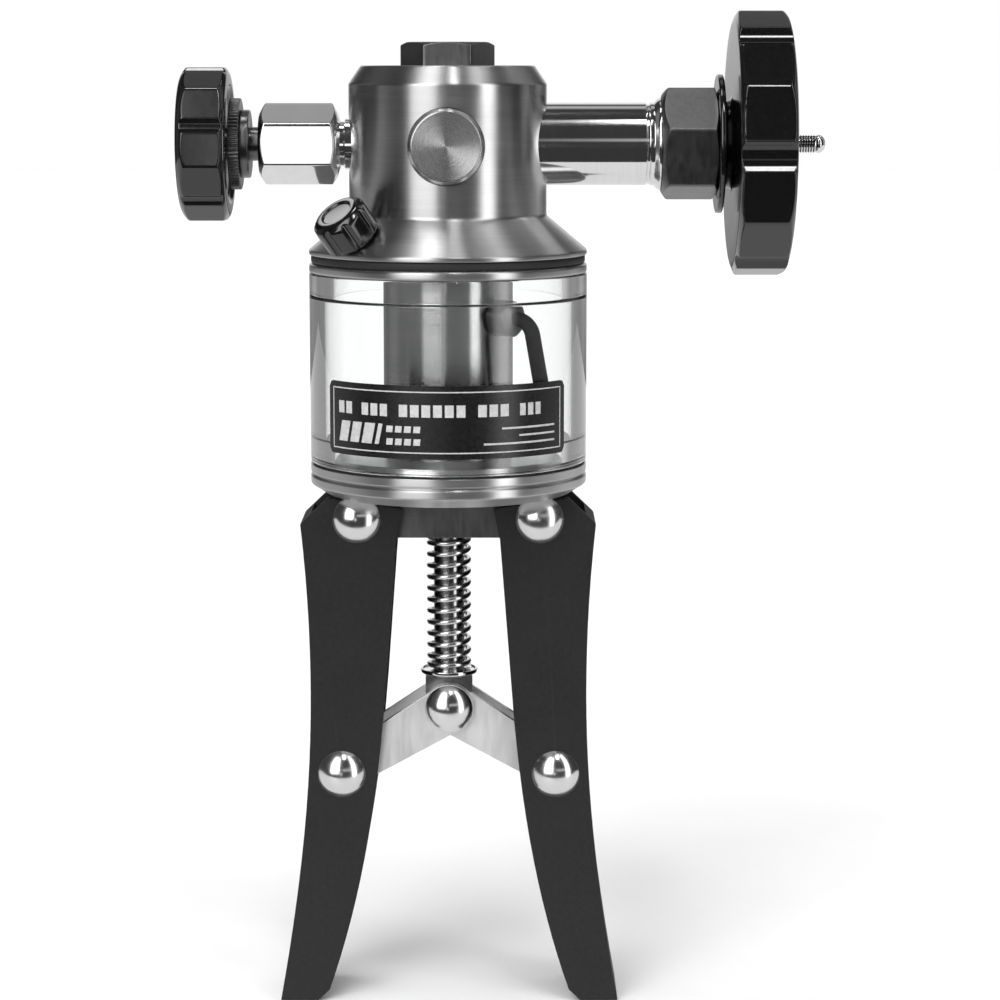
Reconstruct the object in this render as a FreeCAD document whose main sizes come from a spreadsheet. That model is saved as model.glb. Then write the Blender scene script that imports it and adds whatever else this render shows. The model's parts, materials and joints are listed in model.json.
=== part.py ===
"""Scissor-handle hydraulic hand pump, millimetres.

Frame: origin at the centre of the gauge port's mouth, +Z up along the port and the plunger,
+X towards the screw press, -Y towards the front, where the blanking plug is.
"""
import FreeCAD, Part
import math
import os
import re
import Sketcher

DOC = FreeCAD.newDocument("HandPump")

# ---------------------------------------------------------------- driving dimensions
# Names ending in _z are heights in the part's frame, and names ending in _x are distances
# from the pump axis. All the others are sizes.
DIMENSIONS = {
    # fits between still pieces and between running ones, and how far a cutting tool runs past its cut
    "static_gap": 0.05,
    "running_gap": 0.05,
    "overrun": 1.0,
    "through": 60.0,
    # gauge adaptor
    "adaptor_flats": 22.0,
    "adaptor_rise": 6.2,
    "adaptor_crown_drop": 1.2,
    "adaptor_stud_radius": 10.0,
    "adaptor_stud_length": 10.0,
    "port_radius": 5.72,
    "port_depth": 12.0,
    "port_lead_in": 0.8,
    "port_floor": 6.0,
    "gallery_radius": 1.5,
    "adaptor_seal_cord": 0.45,
    "adaptor_seal_offset": 0.6,
    "adaptor_seal_pocket": 1.05,
    # head
    "head_top_z": -6.2,
    "head_radius": 26.5,
    "head_bevel_width": 3.3,
    "head_bevel_drop": 4.8,
    "cone_top_z": -45.9,
    "cone_bottom_z": -55.1,
    "head_bottom_z": -56.3,
    "cross_port_z": -27.0,
    "ball_pocket_x": 14.6,
    "ball_pocket_length": 6.0,
    "ball_pocket_play": 0.3,
    "barrel_spot_depth": 2.6,
    "bonnet_spot_depth": 1.0,
    "return_drill_radius": 1.2,
    "return_drill_x": 15.2,
    "return_drill_length": 38.0,
    "groove_inner_radius": 20.5,
    "groove_outer_radius": 29.0,
    "groove_top_z": -58.5,
    # reservoir
    "reservoir_radius": 37.4,
    "reservoir_bore": 33.4,
    "spigot_radius": 33.2,
    "upper_spigot_z": -61.0,
    "tube_top_z": -61.2,
    "tube_bottom_z": -112.0,
    "lip_bore": 31.0,
    "lip_height": 6.5,
    "gasket_recess": 0.5,
    "gasket_thickness": 2.4,
    "lower_gasket_thickness": 0.6,
    "lower_spigot_z": -110.5,
    "lower_spigot_radius": 30.8,
    # base flange
    "rim_groove_z": -115.3,
    "rim_groove_size": 0.55,
    "rim_bottom_z": -118.0,
    "base_bottom_z": -120.7,
    "base_bottom_radius": 33.0,
    "base_rod_hole_play": 0.6,
    "base_screw_depth": 4.0,
    # label
    "label_gap": 0.02,
    "label_thickness": 0.4,
    "label_top_z": -88.1,
    "label_bottom_z": -107.3,
    "label_half_angle": 55.0,
    # pump cylinder, seal and guide
    "cylinder_radius": 17.5,
    "cylinder_bore": 6.0,
    "cylinder_top_z": -57.5,
    "cylinder_bottom_z": -116.0,
    "cylinder_bevel": 0.8,
    "seal_pocket_radius": 8.0,
    "seal_pocket_z": -103.0,
    "rod_seal_length": 4.0,
    "rod_seal_slack": 0.1,
    # plunger
    "plunger_radius": 4.2,
    "plunger_top_z": -90.0,
    "plunger_bevel": 0.8,
    "tenon_radius": 3.0,
    "tenon_length": 4.0,
    # outlet check valve in the head
    "outlet_chamber_radius": 4.5,
    "outlet_chamber_z": -38.0,
    "outlet_seat_z": -52.5,
    "outlet_seat_bore": 1.8,
    "outlet_ball_radius": 3.0,
    "outlet_spring_radius": 1.9,
    "outlet_spring_turns": 5.0,
    "outlet_wire_radius": 0.3,
    "outlet_spring_slack": 0.1,
    # inlet check valve and suction line in the reservoir, which leave the cylinder at this angle
    # from +X towards the front; the suction tube leans back from upright
    "suction_azimuth": 42.0,
    "suction_lean": 14.0,
    "suction_z": -72.5,
    "fitting_radius": 5.0,
    "fitting_neck_radius": 3.0,
    "fitting_root_x": 14.2,
    "fitting_end_x": 24.5,
    "fitting_shoulder_gap": 0.4,
    "fitting_taper": 1.6,
    "fitting_lip": 0.7,
    "fitting_socket_depth": 1.5,
    "inlet_chamber_radius": 2.4,
    "inlet_chamber_x": 16.2,
    "inlet_seat_x": 22.0,
    "inlet_seat_bore": 1.1,
    "inlet_ball_radius": 1.8,
    "inlet_spring_radius": 1.5,
    "inlet_spring_turns": 3.0,
    "inlet_wire_radius": 0.2,
    "suction_tube_radius": 1.9,
    "suction_tube_bore": 1.2,
    "suction_bend": 4.0,
    "suction_tube_length": 24.0,
    "strainer_radius": 2.9,
    "strainer_length": 8.5,
    "strainer_floor": 1.0,
    "strainer_overlap": 5.0,
    # front plug
    "plug_radius": 10.0,
    "plug_seat_y": -23.4,
    "plug_face_y": -27.4,
    "plug_stud_radius": 7.0,
    "plug_stud_length": 9.0,
    "plug_bevel": 0.9,
    "plug_dish": 0.5,
    "plug_spot_play": 0.15,
    "plug_relief_depth": 1.1,
    "plug_relief_start": 3.0,
    "plug_relief_end": 0.6,
    "plug_seal_cord": 0.42,
    "plug_seal_inset": 1.8,
    # filler cap, on the cone
    "filler_azimuth": 48.0,
    "filler_radial": 32.6,
    "filler_spot_depth": 0.6,
    "filler_spot_radius": 8.1,
    "filler_bore": 4.1,
    "filler_depth": 13.0,
    "cap_radius": 7.7,
    "cap_rise": 9.0,
    "cap_gap": 0.3,
    "cap_stem_radius": 3.8,
    "cap_stem_length": 8.0,
    "cap_flute_radius": 1.5,
    "cap_flute_offset": 0.6,
    "cap_foot_bevel": 0.6,
    "cap_shoulder_drop": 1.6,
    "cap_crown_drop": 0.5,
    "cap_crown_inset": 1.8,
    "cap_seal_radius": 5.9,
    "cap_seal_thickness": 0.8,
    # release valve, on the left
    "bonnet_neck_radius": 6.75,
    "bonnet_root_x": 16.0,
    "bonnet_hex_x": 29.5,
    "bonnet_end_x": 50.4,
    "bonnet_flats": 19.0,
    "bonnet_crown": 1.1,
    "stem_seal_width": 1.5,
    "stem_seal_length": 2.4,
    "stem_seal_inset": 4.9,
    "stem_seal_play": 0.1,
    "release_stem_radius": 4.5,
    "release_nose_x": 19.6,
    "release_nose_radius": 1.6,
    "release_nose_length": 3.0,
    "release_step_x": 52.9,
    "release_step_radius": 9.1,
    "release_collar_x": 55.3,
    "release_collar_radius": 12.25,
    "release_knob_x": 58.2,
    "release_knob_end_x": 72.5,
    "release_knob_radius": 21.2,
    "release_knob_socket": 9.0,
    "release_flute_radius": 2.4,
    "release_flute_offset": 0.9,
    "release_ball_radius": 2.4,
    "release_ball_x": 17.1,
    # screw press, on the right
    "barrel_radius": 11.0,
    "barrel_root_x": 16.0,
    "barrel_stud_radius": 8.0,
    "barrel_end_x": 57.0,
    "barrel_bore": 6.0,
    "barrel_floor": 6.0,
    "barrel_collar_rise": 1.2,
    "barrel_collar_start": 1.8,
    "barrel_collar_end": 0.6,
    "press_nut_crown": 1.7,
    "press_nut_flats": 27.0,
    "press_nut_end_x": 71.8,
    "press_nut_turn": 14.0,
    "press_nut_spigot": 5.0,
    "dust_disc_radius": 18.5,
    "dust_disc_end_x": 73.5,
    "dust_disc_play": 0.4,
    "spindle_radius": 4.0,
    "spindle_root_x": 42.0,
    "spindle_tail_radius": 2.4,
    "spindle_end_x": 101.0,
    "spindle_tip_drop": 1.3,
    "spindle_crown_drop": 0.5,
    "knob_cover": 4.0,
    "press_hub_x": 73.8,
    "press_hub_radius": 11.5,
    "press_knob_x": 76.0,
    "press_knob_end_x": 92.0,
    "press_knob_radius": 35.6,
    "press_hub_bevel": 0.5,
    "press_flute_radius": 4.5,
    "press_flute_offset": 1.4,
    "facet_inset": 0.2,
    "press_piston_x": 26.5,
    "press_piston_length": 15.0,
    "piston_groove_start": 3.0,
    "piston_groove_end": 5.0,
    "piston_groove_depth": 1.2,
    "piston_seal_offset": 0.68,
    "piston_seal_cord": 0.5,
    # yoke and rivets
    "yoke_half_width": 8.6,
    "yoke_bottom_z": -132.6,
    "upper_pivot_x": 24.7,
    "upper_pivot_z": -127.1,
    "yoke_end_radius": 5.5,
    "rivet_radius": 3.0,
    "link_pin_radius": 2.2,
    "rivet_head_radius": 6.5,
    "rivet_head_rise": 3.2,
    "yoke_screw_x": 13.0,
    "yoke_screw_radius": 2.5,
    "yoke_screw_head": 4.0,
    "yoke_screw_head_play": 0.2,
    "yoke_pocket_depth": 5.0,
    "yoke_screw_recess": 0.75,
    "yoke_screw_head_height": 4.2,
    "yoke_screw_length": 11.0,
    "yoke_screw_key": 4.0,
    "yoke_screw_key_depth": 2.6,
    "yoke_rod_hole_play": 0.3,
    # handles
    "handle_half_depth": 11.5,
    "handle_wall": 2.5,
    "lower_pivot_x": 29.2,
    "lower_pivot_z": -197.5,
    # links and crosshead
    "centre_pivot_z": -180.0,
    "link_length": 33.435,
    "link_slope": 31.115,
    "link_end_radius": 6.7,
    "link_tip_radius": 5.2,
    "link_thickness": 2.0,
    "inner_link_y": 4.15,
    "outer_link_y": 6.3,
    "link_pin_play": 0.8,
    "crosshead_half_width": 6.4,
    "crosshead_half_depth": 4.0,
    "crosshead_top_z": -171.8,
    "centre_rivet_play": 0.15,
    # return spring
    "spring_radius": 5.4,
    "spring_wire_radius": 0.75,
    "spring_turns": 12.0,
    "washer_radius": 7.9,
    "washer_top_z": -170.1,
    "washer_foot_inset": 0.9,
    "washer_foot_rise": 0.7,
    "washer_lip": 0.5,
    "washer_dish_inset": 1.0,
    "washer_dish": 0.5,
    "spring_foot_gap": 0.1,
}
# The return passage's direction, from the release valve down to the reservoir.
RETURN_DIRECTION = FreeCAD.Vector(-9.5, 0, -33)
# A moulded knob's edges: how far inside the rim, and how far over the near face or under the far one.
RELEASE_NEAR_EDGE = [(4.0, 0.0), (1.2, 0.9), (0.0, 2.4)]
RELEASE_FAR_EDGE = [(0.0, 4.4), (0.9, 3.0), (4.0, 1.4), (10.6, 0.4)]
PRESS_NEAR_EDGE = [(3.2, 0.0), (0.0, 1.6)]
PRESS_FAR_EDGE = [(0.0, 3.6), (1.4, 1.9), (5.0, 0.9), (21.36, 0.0)]
KNOB_FACETS = 12

# The handle's edges, from its shoulder to its tip: (distance from the pump axis, height).
HANDLE_OUTER_EDGE = [(39.9, -128.4), (37.7, -160.0), (38.2, -197.0), (41.6, -231.0), (46.5, -261.6)]
HANDLE_INNER_EDGE = [(33.0, -258.6), (26.6, -237.1), (19.6, -198.9), (16.4, -165.0), (14.0, -132.8)]
HANDLE_SHOULDER = [(12.2, -124.2), (32.4, -121.2)]
# The handle's tip bulges a little below its corners, this far inwards of their middle.
TIP_BULGE = FreeCAD.Vector(-3.5, 0, -0.1)
# A handle's shoulder is open over this reach and height, from just under the upper pivot.
SHOULDER_OPENING = FreeCAD.Vector(40, 0, 12)
# How much wider than the link's pin its hole in the handle is, in radius.
HANDLE_PIN_GAP = 0.02

SHEET = DOC.addObject("Spreadsheet::Sheet", "Dims")
for sheet_row, (alias, number) in enumerate(DIMENSIONS.items(), 1):
    SHEET.set(f"A{sheet_row}", alias)
    SHEET.set(f"B{sheet_row}", str(number))
    SHEET.setAlias(f"B{sheet_row}", alias)
DOC.recompute()

UP = FreeCAD.Vector(0, 0, 1)
LEFT = FreeCAD.Vector(-1, 0, 0)
RIGHT = FreeCAD.Vector(1, 0, 0)
FRONT = FreeCAD.Vector(0, -1, 0)
BACK = FreeCAD.Vector(0, 1, 0)
ORIGIN = ("0", "0", "0")
NODES = []


# ---------------------------------------------------------------- helpers
def dim(alias):
    """The number in the sheet's cell."""
    return float(SHEET.get(alias))


def bound(expression):
    """An expression on the sheet: every alias in it gets the sheet's name in front."""
    def named(word):
        return f"Dims.{word[0]}" if word[0] in DIMENSIONS else word[0]
    return re.sub(r"[a-z_]+", named, str(expression))


def place(item, base, axis=UP, turn=0.0):
    """Stands an object at base, an expression for each coordinate, with its own Z along axis."""
    rotation = FreeCAD.Rotation(UP, axis).multiply(FreeCAD.Rotation(UP, turn))
    item.Placement = FreeCAD.Placement(FreeCAD.Vector(0, 0, 0), rotation)
    for letter, expression in zip("xyz", base):
        item.setExpression(f".Placement.Base.{letter}", bound(expression))
    return item


def cylinder(label, radius, height, base=ORIGIN, axis=UP):
    item = DOC.addObject("Part::Cylinder", label)
    item.setExpression("Radius", bound(radius))
    item.setExpression("Height", bound(height))
    return place(item, base, axis)


def hexagon(label, flats, height, base=ORIGIN, axis=UP, turn=0.0, sides=6):
    """A prism with this distance across its flats."""
    item = DOC.addObject("Part::Prism", label)
    item.Polygon = sides
    item.setExpression("Circumradius", bound(f"({flats}) / 2 / cos({180 / sides}deg)"))
    item.setExpression("Height", bound(height))
    return place(item, base, axis, turn)


def block(label, length, width, height, base):
    item = DOC.addObject("Part::Box", label)
    item.setExpression("Length", bound(length))
    item.setExpression("Width", bound(width))
    item.setExpression("Height", bound(height))
    return place(item, base)


def ball(label, radius, base):
    item = DOC.addObject("Part::Sphere", label)
    item.setExpression("Radius", bound(radius))
    return place(item, base)


def ring(label, radius, thickness, base=ORIGIN, axis=UP):
    """An O-ring: radius to the middle of its cord, and the cord's own radius."""
    item = DOC.addObject("Part::Torus", label)
    item.setExpression("Radius1", bound(radius))
    item.setExpression("Radius2", bound(thickness))
    return place(item, base, axis)


def fuse(label, *items):
    joined = DOC.addObject("Part::MultiFuse", label)
    joined.Shapes = list(items)
    return joined


def cut(label, item, *tools):
    result = DOC.addObject("Part::Cut", label)
    result.Base = item
    result.Tool = tools[0] if len(tools) == 1 else fuse(f"{label}_tools", *tools)
    return result


def common(label, first, second):
    result = DOC.addObject("Part::Common", label)
    result.Base = first
    result.Tool = second
    return result


def group(label, *items):
    """Separate solids of one node, such as a pair of rivets."""
    result = DOC.addObject("Part::Compound", label)
    result.Links = list(items)
    return result


def tube(label, outer, inner, height, base=ORIGIN, axis=UP):
    outside = cylinder(f"{label}_outside", outer, height, base, axis)
    inside = cylinder(f"{label}_inside", inner, height, base, axis)
    return cut(label, outside, inside)


def turned(label, profile, base=ORIGIN, axis=UP, turn=0.0):
    """A body turned about its own Z from (radius, height) expressions, in order round the profile."""
    body = DOC.addObject("PartDesign::Body", label)
    sketch = body.newObject("Sketcher::SketchObject", f"{label}_profile")
    plane = [item for item in body.Origin.OriginFeatures if item.Role == "XZ_Plane"][0]
    sketch.AttachmentSupport = [(plane, "")]
    sketch.MapMode = "FlatFace"
    count = len(profile)
    start_radius = 10.0
    for index in range(count):
        angles = [math.tau * step / count for step in (index, index + 1)]
        ends = [FreeCAD.Vector(start_radius * (2 + math.cos(angle)), start_radius * math.sin(angle), 0)
                for angle in angles]
        sketch.addGeometry(Part.LineSegment(*ends), False)
    for index in range(count):
        sketch.addConstraint(Sketcher.Constraint("Coincident", index, 2, (index + 1) % count, 1))
    for index, (radius, height) in enumerate(profile):
        if radius == "0":
            sketch.addConstraint(Sketcher.Constraint("PointOnObject", index, 1, -2))
        else:
            across = sketch.addConstraint(Sketcher.Constraint("DistanceX", -1, 1, index, 1, start_radius))
            sketch.setExpression(f"Constraints[{across}]", bound(radius))
        if height == "0":
            sketch.addConstraint(Sketcher.Constraint("PointOnObject", index, 1, -1))
        else:
            along = sketch.addConstraint(Sketcher.Constraint("DistanceY", -1, 1, index, 1, start_radius))
            sketch.setExpression(f"Constraints[{along}]", bound(height))
    revolution = body.newObject("PartDesign::Revolution", f"{label}_turning")
    revolution.Profile = sketch
    revolution.ReferenceAxis = (sketch, ["V_Axis"])
    revolution.Angle = 360
    sketch.Visibility = False
    body.Tip = revolution
    return place(body, base, axis, turn)


def shaped(label, shape):
    """A piece whose shape comes straight from Part's own functions."""
    item = DOC.addObject("Part::Feature", label)
    item.Shape = shape
    return item


def coil(label, radius, wire, length, turns, base, axis=UP):
    """A helical spring of this length, standing at base, a vector."""
    pitch = (length - 2 * wire) / turns
    helix = Part.makeHelix(pitch, length - 2 * wire, radius)
    helix.translate(FreeCAD.Vector(0, 0, wire))
    start = FreeCAD.Vector(radius, 0, wire)
    section = Part.Wire(Part.makeCircle(wire, start, FreeCAD.Vector(0, math.tau * radius, pitch)))
    item = shaped(label, Part.Wire(helix).makePipeShell([section], True, True))
    item.Placement = FreeCAD.Placement(base, FreeCAD.Rotation(UP, axis))
    return item


def dome(label, base, axis):
    """A rivet's domed head: the cap of a sphere, cut off where its radius is the head's."""
    sphere_radius = "(rivet_head_radius ^ 2 + rivet_head_rise ^ 2) / (2 * rivet_head_rise)"
    side = "-1" if axis == FRONT else "1"
    x, y, z = base
    centre = (x, f"{y} + ({side}) * (rivet_head_rise - {sphere_radius})", z)
    blank = cylinder(f"{label}_blank", "rivet_head_radius + overrun", "rivet_head_rise", base, axis)
    return common(label, ball(f"{label}_ball", sphere_radius, centre), blank)


def rivet(label, shank_radius, reach, x, z):
    """A rivet along Y with a domed head at each end, its heads' flats at plus and minus reach."""
    shank = cylinder(f"{label}_shank", shank_radius, f"2 * ({reach})", (x, f"-({reach})", z), BACK)
    front = dome(f"{label}_front", (x, f"-({reach})", z), FRONT)
    return fuse(label, shank, front, dome(f"{label}_rear", (x, reach, z), BACK))


def lobed(label, blank, flute_radius, flute_circle, turn, count=6):
    """Cuts grip flutes, evenly spaced about Z, into the edge of a blank that stands at the origin."""
    flutes = []
    for index in range(count):
        angle = math.radians(turn + 360 * index / count)
        centre = [f"({flute_circle}) * {part:.6f}" for part in (math.cos(angle), math.sin(angle))]
        flutes.append(cylinder(f"{label}_flute_{index + 1}", flute_radius, "through", (*centre, "-overrun")))
    return cut(label, blank, *flutes)


def moulded_knob(label, rim, near_face, far_face, hub, edges, flute_radius, flute_offset, facet_turn,
                 flute_turn):
    """A faceted and fluted knob about Z; hub is the profile's points before the near edge."""
    near_edge, far_edge = edges
    near = [(f"{rim} - {inset}", f"{near_face} + {rise}") for inset, rise in near_edge]
    far = [(f"{rim} - {inset}", f"{far_face} - {drop}") for inset, drop in far_edge]
    blank = turned(f"{label}_blank", hub + near + far + [("0", far_face)])
    flats = f"2 * ({rim} - facet_inset) * cos({180 / KNOB_FACETS}deg)"
    facets = hexagon(f"{label}_facets", flats, "through", ("0", "0", "-overrun"), UP, facet_turn, KNOB_FACETS)
    lobes = lobed(f"{label}_lobes", facets, flute_radius, f"{rim} + {flute_offset}", flute_turn)
    return common(f"{label}_body", blank, lobes)


def keep(*items):
    NODES.extend(items)


# ---------------------------------------------------------------- head and gauge port
def make_adaptor():
    hexagon_part = hexagon("adaptor_hexagon", "adaptor_flats", "adaptor_rise", ("0", "0", "head_top_z"))
    crown = turned("adaptor_crown", [
        ("0", "0"), ("adaptor_flats * 0.6", "0"),
        ("adaptor_flats * 0.6", "adaptor_rise - adaptor_crown_drop"),
        ("adaptor_flats / 2", "adaptor_rise"), ("0", "adaptor_rise")], ("0", "0", "head_top_z"))
    nut = common("adaptor_nut", hexagon_part, crown)
    stud = cylinder("adaptor_stud", "adaptor_stud_radius", "adaptor_stud_length",
                    ("0", "0", "head_top_z - adaptor_stud_length"))
    port = cylinder("adaptor_port", "port_radius", "port_depth", ("0", "0", "-port_depth"))
    lead_in = DOC.addObject("Part::Cone", "adaptor_lead_in")
    lead_in.setExpression("Radius1", bound("port_radius"))
    lead_in.setExpression("Radius2", bound("port_radius + port_lead_in"))
    lead_in.setExpression("Height", bound("port_lead_in"))
    place(lead_in, ("0", "0", "-port_lead_in"))
    gallery = cylinder("adaptor_gallery", "gallery_radius", "adaptor_stud_length",
                       ("0", "0", "-port_depth - port_floor"))
    keep(cut("gauge_adaptor", fuse("adaptor_blank", nut, stud), port, lead_in, gallery))
    keep(ring("adaptor_seal", "adaptor_stud_radius + adaptor_seal_offset", "adaptor_seal_cord",
              ("0", "0", "head_top_z - adaptor_seal_cord - static_gap")))


def filler_frame():
    """The point on the cone's surface under the filler cap, and the cone's outward direction there."""
    slope = math.atan2(dim("reservoir_radius") - dim("head_radius"), dim("cone_top_z") - dim("cone_bottom_z"))
    azimuth = math.radians(dim("filler_azimuth"))
    radial = dim("filler_radial")
    drop = (radial - dim("head_radius")) / math.tan(slope)
    point = FreeCAD.Vector(-radial * math.sin(azimuth), -radial * math.cos(azimuth), dim("cone_top_z") - drop)
    outward = FreeCAD.Vector(-math.sin(azimuth) * math.cos(slope), -math.cos(azimuth) * math.cos(slope),
                             math.sin(slope))
    return point, outward


def on_filler(distance):
    """Base expressions for a point this far out along the filler's axis."""
    point, outward = filler_frame()
    return [f"{start:.6f} + ({distance}) * {part:.6f}" for start, part in zip(point, outward)]


def make_head():
    blank = turned("head_blank", [
        ("0", "0"), ("spigot_radius", "0"), ("spigot_radius", "head_bottom_z - upper_spigot_z"),
        ("reservoir_radius", "head_bottom_z - upper_spigot_z"),
        ("reservoir_radius", "cone_bottom_z - upper_spigot_z"),
        ("head_radius", "cone_top_z - upper_spigot_z"),
        ("head_radius", "head_top_z - head_bevel_drop - upper_spigot_z"),
        ("head_radius - head_bevel_width", "head_top_z - upper_spigot_z"),
        ("0", "head_top_z - upper_spigot_z")], ("0", "0", "upper_spigot_z"))
    groove = tube("head_groove", "groove_outer_radius", "groove_inner_radius",
                  "groove_top_z - upper_spigot_z",
                  ("0", "0", "upper_spigot_z"))
    cylinder_bore = cylinder("head_cylinder_bore", "cylinder_radius + static_gap",
                             "cylinder_top_z + static_gap - upper_spigot_z", ("0", "0", "upper_spigot_z"))
    stud_bore = cylinder("head_stud_bore", "adaptor_stud_radius + static_gap",
                         "adaptor_stud_length + overrun",
                         ("0", "0", "head_top_z - adaptor_stud_length - static_gap"))
    pocket_radius = "adaptor_stud_radius + adaptor_seal_offset + adaptor_seal_cord + 2 * static_gap"
    seal_pocket = cylinder("head_seal_pocket", pocket_radius, "adaptor_seal_pocket",
                           ("0", "0", "head_top_z - adaptor_seal_pocket"))
    gallery = cylinder("head_gallery", "gallery_radius", "head_top_z - outlet_chamber_z",
                       ("0", "0", "outlet_chamber_z"))
    chamber = cylinder("head_outlet_chamber", "outlet_chamber_radius", "outlet_chamber_z - cylinder_top_z",
                       ("0", "0", "cylinder_top_z"))
    cross = ("0", "0", "cross_port_z")
    bonnet_bore = cylinder("head_bonnet_bore", "bonnet_neck_radius + static_gap", "head_radius",
                           ("-bonnet_root_x", "0", "cross_port_z"), LEFT)
    ball_pocket = cylinder("head_ball_pocket", "release_ball_radius + ball_pocket_play", "ball_pocket_length",
                           ("-ball_pocket_x", "0", "cross_port_z"), LEFT)
    left_gallery = cylinder("head_left_gallery", "gallery_radius", "bonnet_root_x", cross, LEFT)
    right_gallery = cylinder("head_right_gallery", "gallery_radius", "barrel_root_x + overrun", cross, RIGHT)
    barrel_bore = cylinder("head_barrel_bore", "barrel_stud_radius + static_gap", "head_radius",
                           ("barrel_root_x", "0", "cross_port_z"), RIGHT)
    barrel_spot = cylinder("head_barrel_spot", "barrel_radius + static_gap", "head_radius",
                           ("head_radius - barrel_spot_depth", "0", "cross_port_z"), RIGHT)
    bonnet_spot = cylinder("head_bonnet_spot", "bonnet_flats * 0.42", "head_radius",
                           ("-(head_radius - bonnet_spot_depth)", "0", "cross_port_z"), LEFT)
    plug_spot = cylinder("head_plug_spot", "plug_radius + plug_spot_play", "head_radius",
                         ("0", "plug_seat_y", "cross_port_z"), FRONT)
    plug_bore = cylinder("head_plug_bore", "plug_stud_radius + static_gap", "head_radius",
                         ("0", "plug_seat_y + plug_stud_length + static_gap", "cross_port_z"), FRONT)
    front_gallery = cylinder("head_front_gallery", "gallery_radius", "-plug_seat_y", cross, FRONT)
    return_drill = cylinder("head_return_drill", "return_drill_radius", "return_drill_length",
                            ("-return_drill_x", "0", "cross_port_z"), RETURN_DIRECTION)
    _, outward = filler_frame()
    filler_spot = cylinder("head_filler_spot", "filler_spot_radius", "filler_depth",
                           on_filler("-filler_spot_depth"), outward)
    filler_bore = cylinder("head_filler_bore", "filler_bore", "filler_depth + overrun",
                           on_filler("-filler_depth"), outward)
    keep(cut("head_block", blank, groove, cylinder_bore, stud_bore, seal_pocket, gallery, chamber,
             bonnet_bore,
             ball_pocket, left_gallery, right_gallery, barrel_bore, barrel_spot, bonnet_spot, plug_spot,
             plug_bore,
             front_gallery, return_drill, filler_spot, filler_bore))


def make_front_plug():
    depth = "plug_seat_y - plug_face_y"
    keep(turned("front_plug", [
        ("0", "0"), ("plug_stud_radius", "0"), ("plug_stud_radius", "plug_stud_length - plug_relief_start"),
        ("plug_stud_radius - plug_relief_depth", "plug_stud_length - plug_relief_start"),
        ("plug_stud_radius - plug_relief_depth", "plug_stud_length - plug_relief_end"),
        ("plug_stud_radius", "plug_stud_length - plug_relief_end"), ("plug_stud_radius", "plug_stud_length"),
        ("plug_radius", "plug_stud_length"), ("plug_radius", f"plug_stud_length + {depth} - plug_bevel"),
        ("plug_radius - plug_bevel", f"plug_stud_length + {depth}"),
        ("0", f"plug_stud_length + {depth} - plug_dish")],
        ("0", "plug_seat_y + plug_stud_length", "cross_port_z"), FRONT))
    keep(ring("plug_seal", "plug_stud_radius - plug_seal_cord", "plug_seal_cord",
              ("0", "plug_seat_y + plug_seal_inset", "cross_port_z"), FRONT))


def make_filler_cap():
    _, outward = filler_frame()
    blank = turned("cap_blank", [
        ("0", "0"), ("cap_radius - cap_foot_bevel", "0"), ("cap_radius", "cap_foot_bevel"),
        ("cap_radius", "cap_rise - cap_shoulder_drop"),
        ("cap_radius - cap_foot_bevel", "cap_rise - cap_crown_drop"),
        ("cap_radius - cap_crown_inset", "cap_rise"), ("0", "cap_rise")])
    grip = lobed("cap_grip", blank, "cap_flute_radius", "cap_radius + cap_flute_offset", turn=11.0, count=8)
    stem = cylinder("cap_stem", "cap_stem_radius", "cap_stem_length + overrun",
                    ("0", "0", "-cap_stem_length"))
    keep(place(fuse("filler_cap", grip, stem), on_filler("cap_gap"), outward))
    keep(tube("filler_cap_seal", "cap_seal_radius", "cap_stem_radius + running_gap", "cap_seal_thickness",
              on_filler("static_gap - filler_spot_depth"), outward))


def make_outlet_check():
    seat_height = "outlet_seat_z - cylinder_top_z - static_gap"
    keep(tube("outlet_seat", "outlet_chamber_radius - static_gap", "outlet_seat_bore", seat_height,
              ("0", "0", "cylinder_top_z + static_gap")))
    rise = math.sqrt(dim("outlet_ball_radius") ** 2 - dim("outlet_seat_bore") ** 2) + dim("static_gap")
    keep(ball("outlet_ball", "outlet_ball_radius", ("0", "0", f"outlet_seat_z + {rise:.4f}")))
    spring_foot = dim("outlet_seat_z") + rise + dim("outlet_ball_radius") + dim("static_gap")
    length = dim("outlet_chamber_z") - spring_foot - dim("outlet_spring_slack")
    keep(coil("outlet_spring", dim("outlet_spring_radius"), dim("outlet_wire_radius"), length,
              dim("outlet_spring_turns"), FreeCAD.Vector(0, 0, spring_foot)))


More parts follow.
